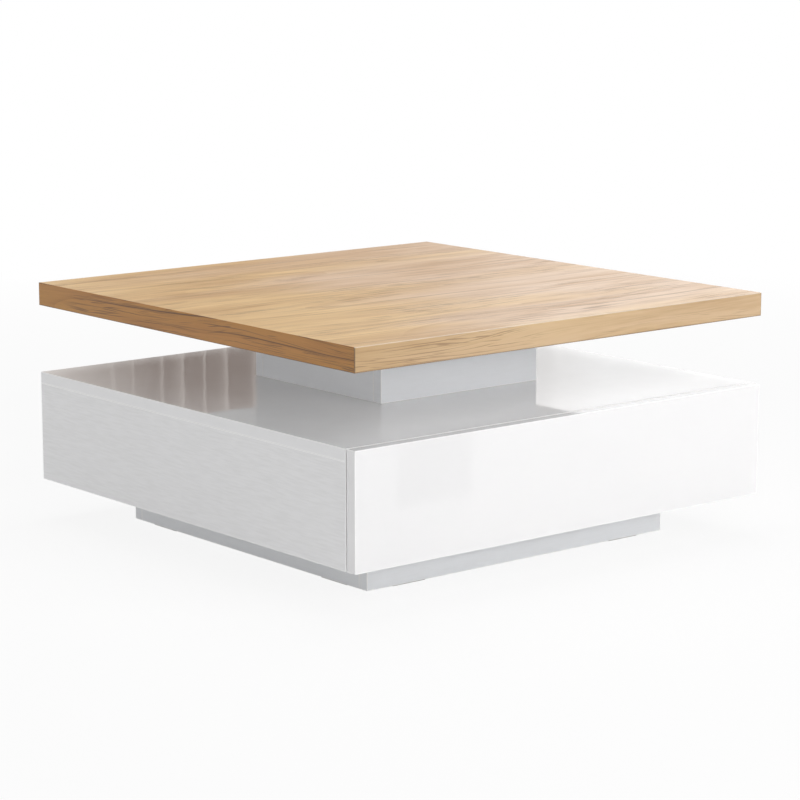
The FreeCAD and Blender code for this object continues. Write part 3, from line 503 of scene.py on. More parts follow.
def zinc_group():
    """Bright zinc plate: rolling lines of the sheet, a cloudy yellow-blue passivation, and fine
    rubbed spots that are rougher than the rest. Lines are counted per metre along each axis."""
    values = {"Plate": ZINC, "Tint": ZINC_TINT, "Lines": (40, 40, 900)}
    place, plate, shade, counts = new_group("zinc_plate", values)
    cloud = lumps(place, 60, 3)
    lines = lumps(vector("MULTIPLY", place, counts), 1, 3)
    color = tint(spread(cloud, 0.4, 0.7), plate, shade)
    worn = plus(times(lines, 0.5), times(cloud, 0.5))
    return close_group(color, spread(worn, 0.35, 0.65, 0.22, 0.42), lines)


def zinc_finish(name, lines, depth=0.02 * MM, **colors):
    """Zinc plate with its lines, and with colours of its own where they are given."""
    return finish(name, zinc_plate, {"Lines": lines, **colors}, depth, Metallic=1.0)


def fit_screws(name, body, node, short_head=LONG_HEAD):
    """Screws with a recess and a thread in place of a node of plain ones.

    A screw that isn't long may have a head of a height of its own."""
    grids = []
    for solid in solids_of(node):
        top, tip, head_radius, radius = rod_of(solid)
        length = np.linalg.norm(tip - top)
        head_height = LONG_HEAD if length > LONG_SCREW else short_head
        seat = top + (tip - top) / length * head_height
        grids.append(screw_grid(tip, seat, radius, head_radius, head_height))
    fit(skin(name, grids), screw_zinc, body, "zinc_steel", node)


zinc_plate = zinc_group()
screw_zinc = zinc_finish("screw_zinc", (500, 500, 500))
fit_screws("long_screws", "base", "base_screws")


# ------------------------ box
# The box is a carcase of 18 mm boards. Top, sides and back are lacquered like the plinth. The
# bottom and the divider behind the drawer are faced with matt white melamine paper.
BOX_WHITE = (0.905, 0.905, 0.912, 1)
MATT_WHITE = (0.74, 0.735, 0.72, 1)
MATT_GREY = (0.6, 0.59, 0.57, 1)


def melamine_group():
    """Pearl-grained melamine: small pits pressed into the resin, and a slight yellow-grey cloud."""
    values = {**UNIT_BOX, "Pale": MATT_WHITE, "Dark": MATT_GREY}
    place, centre, half, pale, dark = new_group("matt_melamine", values)
    pits = lumps(place, 1500)
    edge = edge_of(place, centre, half, RIM_WIDTH)
    share = plus(spread(lumps(place, 8, 4), 0.4, 0.8, 0, 0.35), spread(pits, 0.6, 0.75, 0, 0.25))
    color = tint(plus(share, times(edge, 0.4)), pale, dark)
    return close_group(color, spread(pits, 0.3, 0.7, 0.38, 0.52), pits)


def melamine_boards(*names):
    """Each board gets the melamine with its own edges."""
    for name in names:
        dress(finish("melamine_" + name, melamine, middle_and_half(*box_of(name))), name)


melamine = melamine_group()
lacquer_boards("box_top_panel", "box_back_panel", Film=BOX_WHITE)
lacquer_boards("box_left_side", "box_right_side", Film=BOX_WHITE, Streaks=0.9)
melamine_boards("box_bottom_panel", "box_divider")


# ------------------------ dowels
# Fluted beech dowels, pressed through a ring of teeth so that glue can rise along the flutes, with
# both ends chamfered. They line up the box's boards and the pedestal's.
FLUTES = 16
FLUTE_DEPTH = 0.3 * MM
DOWEL_CHAMFER = 0.9 * MM


def fit_dowels(name, body, node):
    """Dowels in place of a node of plain ones: every other column lies deeper by a flute."""
    grids = []
    for solid in solids_of(node):
        first, last, radius, _ = rod_of(solid)
        length = np.linalg.norm(last - first)
        size = np.array([0, radius - DOWEL_CHAMFER, radius, radius, radius - DOWEL_CHAMFER, 0])
        level = np.array([0, 0, DOWEL_CHAMFER, length - DOWEL_CHAMFER, length, length])
        flute = np.where(np.arange(2 * FLUTES) % 2, FLUTE_DEPTH, 0) * (size[:, None] > 0)
        grid = turned(np.stack([size, level], axis=-1), 2 * FLUTES, flute)
        grids.append(laid(grid, first, last - first))
    fit(skin(name, grids, sharp=25), beech_dowel, body, "beech", node)


beech_dowel = finish("beech_dowel", beech_wood, {"Along": (0.3, 0.3, 0.3)}, 0.2 * MM)
fit_dowels("fluted_dowels", "base", "wooden_dowels")


# ------------------------ cam locks and their bolts
# Die-cast zinc cams sit in blind holes and pull the boards together by the heads of steel bolts. A
# cam has a chamfered face with a cross recess, and a grip groove round its drum.
CAM_CHAMFER = 0.8 * MM
CAM_GROOVE = 0.6 * MM
CAM_GROOVE_START = 0.3
CAM_GROOVE_FLOOR = 0.36
CAM_SLOT = 2.2 * MM
CAM_SLOT_REACH = 0.6
CAM_SLOT_WIDTH = 0.12
BOLT_HEAD = 0.8
BOLT_HEAD_END = 0.8
BOLT_HEAD_ROWS = 7
BOLT_NECK = ((0.62, 0.32), (0.8, 0.36), (0.8, 0.56), (1, 0.57), (1, 0.62))
BOLT_THREAD_START = 0.63
BOLT_THREAD_ROWS = 18
CASTING = (0.4, 0.41, 0.42, 1)
CASTING_BRIGHT = (0.66, 0.66, 0.65, 1)


def cam_grid(face, foot, radius):
    """Grid of a cam: a cross recess in its face, then the drum's profile carried round it."""
    length = np.linalg.norm(foot - face)
    waist = radius - CAM_GROOVE
    start, floor = CAM_GROOVE_START * length, CAM_GROOVE_FLOOR * length
    drum = [
        (radius - CAM_CHAMFER, 0), (radius, CAM_CHAMFER), (radius, start), (waist, floor),
        (waist, length - floor), (radius, length - start), (radius, length - CAM_CHAMFER),
        (radius - CAM_CHAMFER, length), (0, length),
    ]
    ring = radius * recess_rings(CAM_SLOT_REACH, CAM_SLOT_WIDTH)
    top = cross_recess(ring, CAM_SLOT_WIDTH * radius, 0 * ring, CAM_SLOT + 0 * ring)
    return laid(np.concatenate([top, turned(drum)]), face, foot - face)


def bolt_grid(first, last, radius):
    """Grid of a cam bolt: a ball head on a waist, a collar, and a threaded end."""
    length = np.linalg.norm(last - first)
    ball = np.linspace(0, BOLT_HEAD_END * math.pi, BOLT_HEAD_ROWS)
    head = BOLT_HEAD * radius * np.stack([np.sin(ball), 1 - np.cos(ball)], axis=-1)
    neck = np.array(BOLT_NECK) * (radius, length)
    level = np.linspace(BOLT_THREAD_START * length, length - radius, BOLT_THREAD_ROWS)
    rows = [turned(head), turned(neck), thread(radius, level), turned([(0, length)])]
    return laid(np.concatenate(rows), first, last - first)


def casting_group():
    """Die-cast zinc: a grey skin with flow clouds, fine pits and bright rubbed spots."""
    place, dull, bright = new_group("zinc_casting", {"Skin": CASTING, "Bright": CASTING_BRIGHT})
    flow = lumps(place, 220, 4, 0.6)
    color = tint(spread(flow, 0.4, 0.68), dull, bright)
    height = plus(times(flow, 0.6), times(lumps(place, 2400), 0.4))
    return close_group(color, spread(flow, 0.35, 0.7, 0.5, 0.33), height)


def cam_ends(solid):
    """The middle of a cam's face and of its foot.

    The holes in the right side and in the back open towards the low end of their axis, and those in
    the left side, the bottom and the divider towards the high end."""
    low, high = solid.min(0), solid.max(0)
    way = np.argmin(high - low)
    face, foot = (low + high) / 2, (low + high) / 2
    opens_low = (way == 0 and low[0] > 0) or (way == 1 and low[1] > box_of("box_divider")[1, 1])
    face[way], foot[way] = (low[way], high[way]) if opens_low else (high[way], low[way])
    return face, foot


def bolts_of(node, locks):
    """A bolt for each rod of a node, its head towards the nearest lock."""
    centres = np.array([lock.mean(0) for lock in locks])
    grids = []
    for solid in solids_of(node):
        *ends, radius, _ = rod_of(solid)
        ends.sort(key=lambda end: np.linalg.norm(centres - end, axis=1).min())
        grids.append(bolt_grid(*ends, radius))
    return grids


locks = solids_of("box_cam_locks")
cams = [cam_grid(*cam_ends(lock), np.ptp(lock, axis=0).max() / 2) for lock in locks]
cam_metal = finish("cam_casting", casting_group(), Metallic=1.0)
fit(skin("cam_locks", cams), cam_metal, "base", "zinc_casting", "box_cam_locks")
cam_bolts = skin("cam_bolts", bolts_of("box_cam_bolts", locks))
fit(cam_bolts, screw_zinc, "base", "zinc_steel", "box_cam_bolts")


# ------------------------ pedestal
# A hollow square neck carries the top: two wide lacquered boards cover the ends of two narrow ones,
# with beech battens in its corners, and a board across its top that takes the swivel's screws.
# The lacquered boards get the brighter, bluer white of painted light and cool shade.
for side in SIDES:
    lacquer_boards(f"pedestal_{side}_board", Film=PAINTED_LIGHT_WHITE)
melamine_boards("pedestal_top_board")
dress(upright_beech, "pedestal_battens")


# ------------------------ runners
# Each side of the drawer hangs on a telescopic runner: three channels rolled from zinc-plated strip,
# one in the other, with two rows of steel balls between each pair, held apart by bent retainers.
SHEET = 1.2 * MM
BEND = 1.7 * MM
BEND_STEPS = 5
RETAINER = 0.5 * MM
RETAINER_FOLD = 0.4 * MM
RETAINER_COLUMNS = 9
RETAINER_MARGIN = 6 * MM
RETAINER_OVERLAP = 2.4 * MM
BALL_STEEL = (0.72, 0.72, 0.73, 1)
BALL_TINT = (0.6, 0.6, 0.6, 1)
RUNNER_HEAD = 0.7 * MM


def channel_outline(near, far, half_height):
    """Closed outline, in distance and height, of a bent channel open at its far side.

    Its outer line runs along one flange, round two arcs and along the other flange. The inner line
    is the same moved in by the sheet's thickness, with arcs of a radius smaller by as much."""
    turn = np.linspace(0, math.pi / 2, BEND_STEPS + 1)
    toward = math.copysign(1, far - near)
    lines = []
    for inset in (0, SHEET):
        x = near + toward * (inset + (BEND - inset) * (1 - np.cos(turn)))
        z = half_height - inset - (BEND - inset) * (1 - np.sin(turn))
        upper = np.stack([x, z], axis=-1)
        end = np.array([(far, half_height - inset)])
        lines.append(np.concatenate([end * (1, -1), upper[::-1] * (1, -1), upper, end]))
    return np.concatenate([lines[0], lines[1][::-1]])


def carried(x, z, y0, y1):
    """Grid of an outline in X and Z, carried along Y from y0 to y1."""
    return np.stack([np.stack([x, 0 * x + y, z], axis=-1) for y in (y0, y1)])


def rail_grid(node, sign, open_inwards):
    """Grid of a runner's channel, its outline drawn from the side of the box that it hangs on."""
    (x0, y0, z0), (x1, y1, z1) = box_of(node)
    wall = sign * box_of("box_right_side")[0, 0]
    near, far = sorted((abs(wall - x0), abs(wall - x1)), reverse=not open_inwards)
    outline = channel_outline(near, far, (z1 - z0) / 2)
    return carried(wall - sign * outline[:, 0], (z0 + z1) / 2 + outline[:, 1], y0, y1)


def retainer_grids(node):
    """A thin strip between two flanges for each level of balls, its long edges folded down a little.

    With u from -1 to 1 across the strip, the fold is |u| to the power of six times its depth."""
    balls = np.array([ball.mean(0) for ball in solids_of(node)])
    middle = balls[:, 2].mean()
    x0, x1 = balls[:, 0].min() - RETAINER_OVERLAP, balls[:, 0].max() + RETAINER_OVERLAP
    u = np.linspace(-1, 1, RETAINER_COLUMNS)
    x = (x0 + x1) / 2 + u * (x1 - x0) / 2
    grids = []
    for level in np.unique(balls[:, 2].round(5)):
        row = balls[np.abs(balls[:, 2] - level) < 1e-4, 1]
        z = level - RETAINER_FOLD * np.abs(u) ** 6 * math.copysign(1, level - middle)
        closed_z = np.concatenate([z + RETAINER / 2, (z - RETAINER / 2)[::-1]])
        start, end = row.min() - RETAINER_MARGIN, row.max() + RETAINER_MARGIN
        grids.append(carried(np.concatenate([x, x[::-1]]), closed_z, start, end))
    return grids


runner_steel = zinc_finish("runner_steel", (700, 5, 700))
ball_steel = zinc_finish("ball_steel", (900, 900, 900), 0.005 * MM, Plate=BALL_STEEL, Tint=BALL_TINT)
for side, sign in (("left", -1), ("right", 1)):
    slide = side + "_runner_slide"
    for member, body in (("outer", "base"), ("middle", slide), ("inner", "drawer")):
        node = f"runner_{side}_{member}"
        rail = skin(node + "_rail", [rail_grid(node, sign, member != "inner")])
        fit(rail, runner_steel, body, "zinc_steel", node)
    retainers = skin(f"runner_{side}_retainers", retainer_grids(f"runner_{side}_balls"))
    fit(retainers, runner_steel, slide, "zinc_steel")
dress(ball_steel, "runner_left_balls", "runner_right_balls")
fit_screws("cabinet_side_screws", "base", "cabinet_screws", RUNNER_HEAD)


# ------------------------ push latches
# Two moulded latches under the box's top hold the drawer and push it out. Each is a grey body of
# filled acetal with two ears, ribs under the ears, a collar round its bore, and a pale plunger.
LATCH_GREY = (0.3, 0.31, 0.32, 1)
LATCH_DARK = (0.2, 0.205, 0.21, 1)
PLUNGER_WHITE = (0.68, 0.68, 0.66, 1)
PLUNGER_SHADE = (0.55, 0.55, 0.53, 1)
LATCH_WIDTH = 16 * MM
EAR = 3 * MM
RIB = 1.2 * MM
RIB_ROUND = 0.36 * MM
RIB_REACH = 4 * MM
RIBS = 9
SCREW_ROOM = 5 * MM
COLLAR = 1.8 * MM
COLLAR_PROUD = 0.6 * MM
COLLAR_GAP = 0.1 * MM
SUNK = 0.3 * MM
ROUND_COLUMNS = 32
ALONG_Y = np.array([0, 1.0, 0])


def plastic_group():
    """Moulded plastic: a fine spark grain, slow sink marks, and paler rubbed places."""
    place, pale, dark = new_group("moulded_plastic", {"Pale": LATCH_GREY, "Dark": LATCH_DARK})
    grain = lumps(place, 2200)
    sink = lumps(place, 90, 3)
    color = tint(spread(sink, 0.4, 0.7), dark, pale)
    height = plus(times(grain, 0.5), times(sink, 0.5))
    return close_group(color, spread(grain, 0.3, 0.7, 0.4, 0.55), height)


def collar_grid(mouth):
    """A ring round the bore: its profile goes out along the face, back, in and forward again."""
    inner = plunger_radius + COLLAR_GAP
    outer = inner + COLLAR
    profile = [
        (inner, SUNK), (inner, -COLLAR_PROUD), (outer - SUNK, -COLLAR_PROUD),
        (outer, SUNK - COLLAR_PROUD), (outer, SUNK), (inner, SUNK),
    ]
    return laid(turned(profile, ROUND_COLUMNS), mouth, ALONG_Y)


def latch_trim(solid):
    """Small blocks in the corner under each ear, beside the body, and the collar at the bore."""
    low, high = solid.min(0), solid.max(0)
    x, y = (low[0] + high[0]) / 2, (low[1] + high[1]) / 2
    size = np.array([RIB_REACH + SUNK, RIB, RIB_REACH + SUNK])
    grids = [collar_grid(np.array([x, low[1], plunger_z]))]
    for place in np.linspace(low[1] + 3 * RIB, high[1] - 3 * RIB, RIBS):
        if abs(place - y) < SCREW_ROOM:
            continue
        for near in (x - LATCH_WIDTH / 2 - RIB_REACH, x + LATCH_WIDTH / 2 - SUNK):
            corner = np.array([near, place - RIB / 2, high[2] - EAR - RIB_REACH])
            grids.append(rounded_block(corner, corner + size, RIB_ROUND))
    return grids


latch_plastic = plastic_group()
latch_grey = finish("latch_grey", latch_plastic)
dress(latch_grey, "latch_housings")
plunger_low, plunger_high = box_of("latch_left_plunger")
plunger_radius = (plunger_high[2] - plunger_low[2]) / 2
plunger_z = (plunger_high[2] + plunger_low[2]) / 2
trims = [grid for solid in solids_of("latch_housings") for grid in latch_trim(solid)]
fit(skin("latch_ribs", trims), latch_grey, "base", "latch_plastic")
plunger_white = finish("plunger_white", latch_plastic, {"Pale": PLUNGER_WHITE, "Dark": PLUNGER_SHADE})
dress(plunger_white, "latch_left_plunger", "latch_right_plunger")


# ------------------------ drawer
# A lacquered front, as wide as the box, on a drawer of thin melamine boards with a bottom in a
# groove. The front is screwed on from inside, and two steel discs on its back meet the plungers.
STRIKE_ROUND = 0.3 * MM
DISH_RIM = 0.62
DISH_FLOOR = 0.5
DISH_LEVEL = 0.75


def strike_grid(solid):
    """A disc with a rounded rim and a shallow dish where the plunger lands."""
    low, high = solid.min(0), solid.max(0)
    radius, thick = (high[0] - low[0]) / 2, high[1] - low[1]
    profile = [
        (0, 0), (radius - STRIKE_ROUND, 0), (radius, STRIKE_ROUND), (radius, thick - STRIKE_ROUND),
        (radius - STRIKE_ROUND, thick), (DISH_RIM * radius, thick),
        (DISH_FLOOR * radius, DISH_LEVEL * thick), (0, DISH_LEVEL * thick),
    ]
    foot = np.array([(low[0] + high[0]) / 2, low[1], (low[2] + high[2]) / 2])
    return laid(turned(profile, ROUND_COLUMNS), foot, ALONG_Y)


lacquer_boards("drawer_front", Streaks=0.05)
melamine_boards("drawer_inner_front", "drawer_left_side", "drawer_right_side", "drawer_back")
melamine_boards("drawer_bottom")
fit_dowels("drawer_fluted_dowels", "drawer", "drawer_dowels")
fit_screws("drawer_front_screws", "drawer", "drawer_screws", RUNNER_HEAD)
strikes = [strike_grid(solid) for solid in solids_of("latch_strikes")]
fit(skin("strike_discs", strikes), screw_zinc, "drawer", "zinc_steel", "latch_strikes")


# ------------------------ swivel
# Two pressed plates of zinc-plated steel turn on a ring of 24 balls. The balls sit in a plastic
# cage, and a hollow rivet through the middle holds the plates together.
CAGE_BLACK = (0.06, 0.06, 0.062, 1)
CAGE_SHADE = (0.035, 0.035, 0.036, 1)

swivel_zinc = zinc_finish("swivel_zinc", (6, 500, 500), 0.03 * MM)
dress(swivel_zinc, "swivel_lower_plate", "swivel_upper_plate", "swivel_pivot_rivet")
dress(ball_steel, "swivel_balls")
cage_black = finish("cage_black", latch_plastic, {"Pale": CAGE_BLACK, "Dark": CAGE_SHADE})
dress(cage_black, "swivel_ball_cage")
fit_screws("swivel_plate_screws", "base", "swivel_lower_screws")
fit_screws("swivel_top_screws", "top", "swivel_upper_screws")


# ------------------------ tabletop core
# The top is a hollow-core panel: a frame of particle-board rails, a block under the swivel, and a
# honeycomb of kraft paper stretched between them.
CHIP_PALE = (0.6, 0.44, 0.27, 1)
CHIP_DARK = (0.3, 0.18, 0.09, 1)
PAPER_PALE = (0.5, 0.34, 0.2, 1)
PAPER_DARK = (0.3, 0.18, 0.09, 1)


def chip_group():
    """Particle board: stretched cells, each with its own shade, over finer chips and dust."""
    place, pale, dark = new_group("particle_board", {"Pale": CHIP_PALE, "Dark": CHIP_DARK})
    stretched = vector("MULTIPLY", place, (110, 260, 420))
    chips = put(place.id_data, "TexVoronoi", {"Vector": stretched, "Scale": 1.0, "Randomness": 1.0})
    shade = put(place.id_data, "SeparateColor", {0: chips.outputs["Color"]}).outputs[0]
    fine = lumps(place, (1100, 1100, 1500), 3)
    share = plus(times(shade, 0.7), times(fine, 0.4))
    color = tint(spread(share, 0.15, 0.95), pale, dark)
    return close_group(color, spread(fine, 0.3, 0.7, 0.8, 0.95), share)


def paper_group():
    """Kraft paper: brown fibres, laid mostly one way, with darker specks."""
    place, pale, dark = new_group("kraft_paper", {"Pale": PAPER_PALE, "Dark": PAPER_DARK})
    fibre = lumps(place, (600, 600, 2600), 4, 0.6)
    color = tint(spread(fibre, 0.35, 0.75), pale, dark)
    return close_group(color, spread(fibre, 0.3, 0.7, 0.75, 0.9), fibre)


particle_board = finish("particle_board", chip_group(), depth=0.3 * MM)
dress(particle_board, "tabletop_long_rails", "tabletop_short_rails", "tabletop_swivel_block")
dress(finish("kraft_paper", paper_group(), depth=0.1 * MM), "tabletop_honeycomb")


# ------------------------ oak-look skin of the tabletop
# Both facings and the four edge bands carry an oak decor under a satin resin: long warm bands and
# thin dark checks along X, and on the bands along their length. The bands are glued round the rim.
OAK_LOOK = {
    "Pale": (0.79, 0.53, 0.225, 1), "Tan": (0.48, 0.265, 0.095, 1),
    "Rose": (0.71, 0.5, 0.345, 1), "Dark": (0.15, 0.07, 0.03, 1),
    "Rings": 12.0, "Bend": 0.09, "Checks": 0.8, "Threads": 0.7, "Thread Width": 0.1,
    "Painted Sheen": 0.0, "Painted Sheen Middle": 0.0,
}
UNDER_LOOK = {
    "Pale": (0.87, 0.86, 0.85, 1), "Tan": (0.78, 0.76, 0.74, 1), "Rose": (0.85, 0.84, 0.83, 1),
}
FRONT_LOOK = {
    "Pale": (0.65, 0.46, 0.25, 1), "Tan": (0.45, 0.28, 0.13, 1), "Rose": (0.62, 0.44, 0.27, 1),
    "Rings": 6.0, "Bend": 0.16, "Checks": 0.7, "Threads": 0.5, "Thread Width": 0.05,
}
# Painted shade: the left band gets a darker, more saturated copy of the band oak, standing in for the
# shade on that side.
SHADED_SIDE_LOOK = {
    "Pale": (0.5, 0.24, 0.042, 1), "Tan": (0.31, 0.125, 0.026, 1), "Rose": (0.46, 0.205, 0.048, 1),
    "Rings": 8.0, "Bend": 0.16, "Checks": 1.1, "Threads": 1.4, "Thread Width": 0.1,
}
BAND_FINE = 1.6
# Painted highlight: a paler line along the bands' upper edge, with its strength on a band, its colour
# and its width.
BAND_ARRIS_HIGHLIGHT = 0.6
ARRIS_HIGHLIGHT = (0.92, 0.84, 0.74, 1)
ARRIS_HIGHLIGHT_WIDTH = 1.6 * MM
GLUE = (0.12, 0.065, 0.03, 1)
GLUE_WIDTH = 2.0 * MM
OAK_DEPTH = 0.08 * MM


def joined(x, y=0.0, z=0.0):
    """A place from its distances along X, Y and Z."""
    return put(x.id_data, "CombineXYZ", {0: x, 1: y, 2: z}).outputs[0]


def near_lines(across, grain, per_metre, half_width, waves, shift):
    """One on thin lines that follow the grain, down to nought half a width away.

    The distance across the grain, counted in lines and shifted by slow noise, is a half on a line."""
    sway = times(lumps(grain, waves, 1), shift)
    lane = calc("FRACT", calc("MULTIPLY_ADD", across, per_metre, sway))
    return spread(calc("ABSOLUTE", calc("SUBTRACT", lane, 0.5)), 0, half_width, 1, 0)


def oak_group():
    """Oak figure from three lengths: along the grain, across it, and into the wood.

    Slow noise bends the grain. Broad zones, streaks, lines and fibre are noise stretched along it.
    Contour lines of a long, low noise field are the growth rings, and each darkens sharply at its
    end. Threads are thin dark lines along the grain, and checks are where noise on a leaning grid
    rises above a limit. Both come in patches, with a browner stain round them. A warm rose tone
    comes and goes slowly. On top of it lies a painted sheen: one input makes more of the rose on one
    side of a middle along the grain, standing in for the paler gloss of that side."""
    inputs = new_group("oak_figure", OAK_LOOK)
    place, pale, tan, rose, dark, rings, bend, checked, threaded, width, sheen_strength, middle = inputs
    along, across, depth = axes_of(place)
    slow = calc("SUBTRACT", lumps(place, (1.1, 4, 4)), 0.5)
    quick = calc("SUBTRACT", lumps(place, (6, 22, 22)), 0.5)
    bent = calc("MULTIPLY_ADD", quick, 0.006, calc("MULTIPLY_ADD", slow, bend, across))
    grain = joined(along, bent, depth)
    zones = spread(lumps(grain, (2.4, 12, 12), 3, 0.55), 0.35, 0.68)
    streaks = spread(lumps(grain, (5, 50, 50), 3, 0.6), 0.35, 0.72)
    lines = spread(lumps(grain, (11, 240, 240), 3, 0.65), 0.35, 0.75)
    fibre = spread(lumps(grain, (25, 1300, 1300)), 0.3, 0.7)
    ring = calc("POWER", calc("FRACT", times(lumps(grain, (0.8, 5, 5), 1), rings)), 5)
    ring = times(ring, spread(lumps(grain, (3, 9, 9)), 0.42, 0.6))
    tone = times(zones, 0.4)
    for layer, share in ((streaks, 0.2), (lines, 0.18), (fibre, 0.12), (ring, 0.28)):
        tone = calc("MULTIPLY_ADD", layer, share, tone)
    tone = spread(tone, 0.22, 0.86)
    patches = spread(lumps(grain, (3.2, 15, 15)), 0.46, 0.58)
    dashes = []
    for lean, counts, low in ((0.09, (13, 260, 260), 0.61), (-0.05, (7, 380, 380), 0.62)):
        leaning = joined(along, calc("MULTIPLY_ADD", along, lean, bent), depth)
        dashes.append(spread(lumps(leaning, counts, 1), low, low + 0.05))
    checks = times(times(calc("MAXIMUM", *dashes), patches), checked)
    runs = spread(lumps(grain, (2.6, 34, 34), 1), 0.5, 0.62)
    threads = times(near_lines(bent, grain, 48, width, (1.2, 14, 14), 1.6), runs)
    fine_width = times(width, 2.5)
    fine_runs = spread(lumps(grain, (6, 60, 60), 1), 0.54, 0.66)
    fine_threads = times(near_lines(bent, grain, 170, fine_width, (2.4, 30, 30), 2.6), fine_runs)
    threads = times(calc("MAXIMUM", threads, times(fine_threads, 0.6)), threaded)
    marks = calc("MAXIMUM", times(checks, 0.7), threads)
    color = tint(calc("MULTIPLY_ADD", patches, 0.12, tone), pale, tan)
    # Painted sheen: the rose tone grows along the grain past the middle, standing in for the paler gloss
    # of one side.
    sheen_ramp = times(calc("SUBTRACT", along, middle), sheen_strength)
    rose_and_sheen = spread(plus(lumps(grain, (1.5, 8, 8)), sheen_ramp), 0.4, 0.62, 0, 0.85)
    color = tint(rose_and_sheen, color, tint(tone, rose, tan))
    color = tint(marks, color, dark)
    roughness = calc("MULTIPLY_ADD", marks, 0.15, spread(tone, 0, 1, 0.3, 0.4))
    height = calc("SUBTRACT", times(fibre, 0.35), calc("MULTIPLY_ADD", lines, 0.3, marks))
    return close_group(color, roughness, height)


def oak_finish(name, order, shift, values, fine=1, arris_highlight=0):
    """The decor on one piece: order gives the piece's axes along, across and into the grain.

    Fine is how much finer the figure is across the grain, and the arris share is how much of a
    painted highlight runs along a band's upper edge: a paler line that stands in for the light an
    eased edge catches. A thin dark line of glue shows along the upright edges and the lower rim."""
    material, tree = new_material("oak_" + name)
    place = put(tree, "TexCoord").outputs["Object"]
    axes = axes_of(place)
    grain = joined(*(axes["XYZ".index(axis)] for axis in order))
    moved = vector("MULTIPLY_ADD", grain, (1, fine, 1), shift)
    look = put(tree, "Group", {"Place": moved, **values}, node_tree=oak_figure).outputs
    glue = times(edge_of(place, *top_box.values(), GLUE_WIDTH), 0.95)
    # Painted highlight along the band's upper edge.
    arris_highlight_share = spread(axes[2], top_level - ARRIS_HIGHLIGHT_WIDTH, top_level, 0, arris_highlight)
    color = tint(arris_highlight_share, tint(glue, look["Color"], GLUE), ARRIS_HIGHLIGHT)
    close_material(tree, look, color, OAK_DEPTH)
    return material


oak_figure = oak_group()
top_low = np.minimum(box_of("tabletop_front_edge")[0], box_of("tabletop_left_edge")[0])
top_high = np.maximum(box_of("tabletop_front_edge")[1], box_of("tabletop_back_edge")[1])
top_level = top_high[2]
top_box = middle_and_half(top_low, top_high + (0, 0, 10 * GLUE_WIDTH))
# Painted sheen: more pale rose towards the top's +X end.
top_look = {"Painted Sheen": 0.5, "Painted Sheen Middle": 3.1}
dress(oak_finish("top", "XYZ", (3.1, 1.7, 0.4), top_look), "tabletop_top_facing")
dress(oak_finish("underside", "XYZ", (8.3, 5.2, 2.4), UNDER_LOOK), "tabletop_bottom_facing")
# The front, back and right bands carry the painted highlight along their upper edge.
for side, order, shift, arris_highlight, look in (
    # The front band: a little painted sheen towards +X.
    ("front", "XZY", (1.2, 0.55, 6.1), BAND_ARRIS_HIGHLIGHT, {**FRONT_LOOK, "Painted Sheen": 0.15, "Painted Sheen Middle": 1.0}),
    ("back", "XZY", (5.9, 2.3, 1.6), BAND_ARRIS_HIGHLIGHT, FRONT_LOOK),
    # The left band: the darker oak of painted shade, and no painted highlight.
    ("left", "YZX", (5.2, 0.9, 9.1), 0, SHADED_SIDE_LOOK),
    ("right", "YZX", (6.4, 8.2, 3.3), BAND_ARRIS_HIGHLIGHT, FRONT_LOOK),
):
    dress(oak_finish(side, order, shift, look, BAND_FINE, arris_highlight), f"tabletop_{side}_edge")


# ------------------------ studio
# The table stands on a plain pale floor in an even white room, under six soft lamps. Its gloss also
# shows a warm grey drape behind and to the left, a window beside it, and a low card in front.
FLOOR_HALF = 80
FLOOR_COLOR = (0.9, 0.9, 0.9, 1)
FLOOR_NEAR = 1.3
FLOOR_FAR = 3.0
FLOOR_SHARE = 0.88
ROOM_LIGHT = 0.18
ROOM_WHITE = (1, 1, 1, 1)
DRAPE_START = (-75, -45)
DRAPE_END = (44, 36)
DRAPE_LIGHT_END = (34.2, 31.5)
DRAPE_LIFT = (0.1, 0.16)
DRAPE_DEEP = (0.29, 0.2, 0.155, 1)
DRAPE_PALE = (0.85, 0.75, 0.68, 1)
WINDOW_START = (41, 43)
WINDOW_END = (90, 60)
WINDOW_LIGHT = 0.6
CARD_PLACE = -0.89
CARD_REACH = 2.0
CARD_HEIGHT = 0.15
CARD_PANEL = (0.074, 0.243)
CARD_JOINT = 0.644
CARD_EDGE = 0.004
CARD_PALE = (0.95, 0.95, 0.96, 1)
CARD_GREY = (0.08, 0.08, 0.1, 1)
LAMPS = (
    ("key_lamp", (1.5, -3.7, 1.12), (2.8, 0.7), 57),
    ("high_lamp", (1.0, -2.9, 3.2), (2.8, 1.0), 26),
    ("corner_lamp", (-1.7, -3.4, 2.2), (2.0, 1.0), 32),
    ("left_lamp", (-3.6, 1.0, 0.85), (2.6, 1.5), 23.5),
    ("right_lamp", (3.8, -0.2, 1.1), (2.6, 1.6), 12),
    ("top_lamp", (0.35, 0.6, 3.2), (2.4, 2.4), 51),
)


def studio_sheet(name, corners):
    """A flat sheet that isn't part of the table, and the empty tree of its material."""
    mesh = bpy.data.meshes.new(name)
    mesh.from_pydata(corners, [], [(0, 1, 2, 3)])
    sheet = new_object(name, mesh)
    material, tree = new_material(name)
    mesh.materials.append(material)
    return sheet, tree


def mirrored(tree):
    """One for what a mirror or glass sees."""
    path = put(tree, "LightPath").outputs
    return calc("MAXIMUM", path["Is Glossy Ray"], path["Is Transmission Ray"])


def seen(tree):
    """One for what the camera, a mirror or glass sees, and nought for light on the object."""
    return calc("MAXIMUM", put(tree, "LightPath").outputs["Is Camera Ray"], mirrored(tree))


def pleats(across, per_unit, waves, sway, power):
    """Soft folds: the share of each fold that is passed, to a power, swayed by slow noise."""
    wander = times(lumps(joined(across), (waves, 0, 0), 1), sway)
    return calc("POWER", calc("FRACT", calc("MULTIPLY_ADD", across, per_unit, wander)), power)


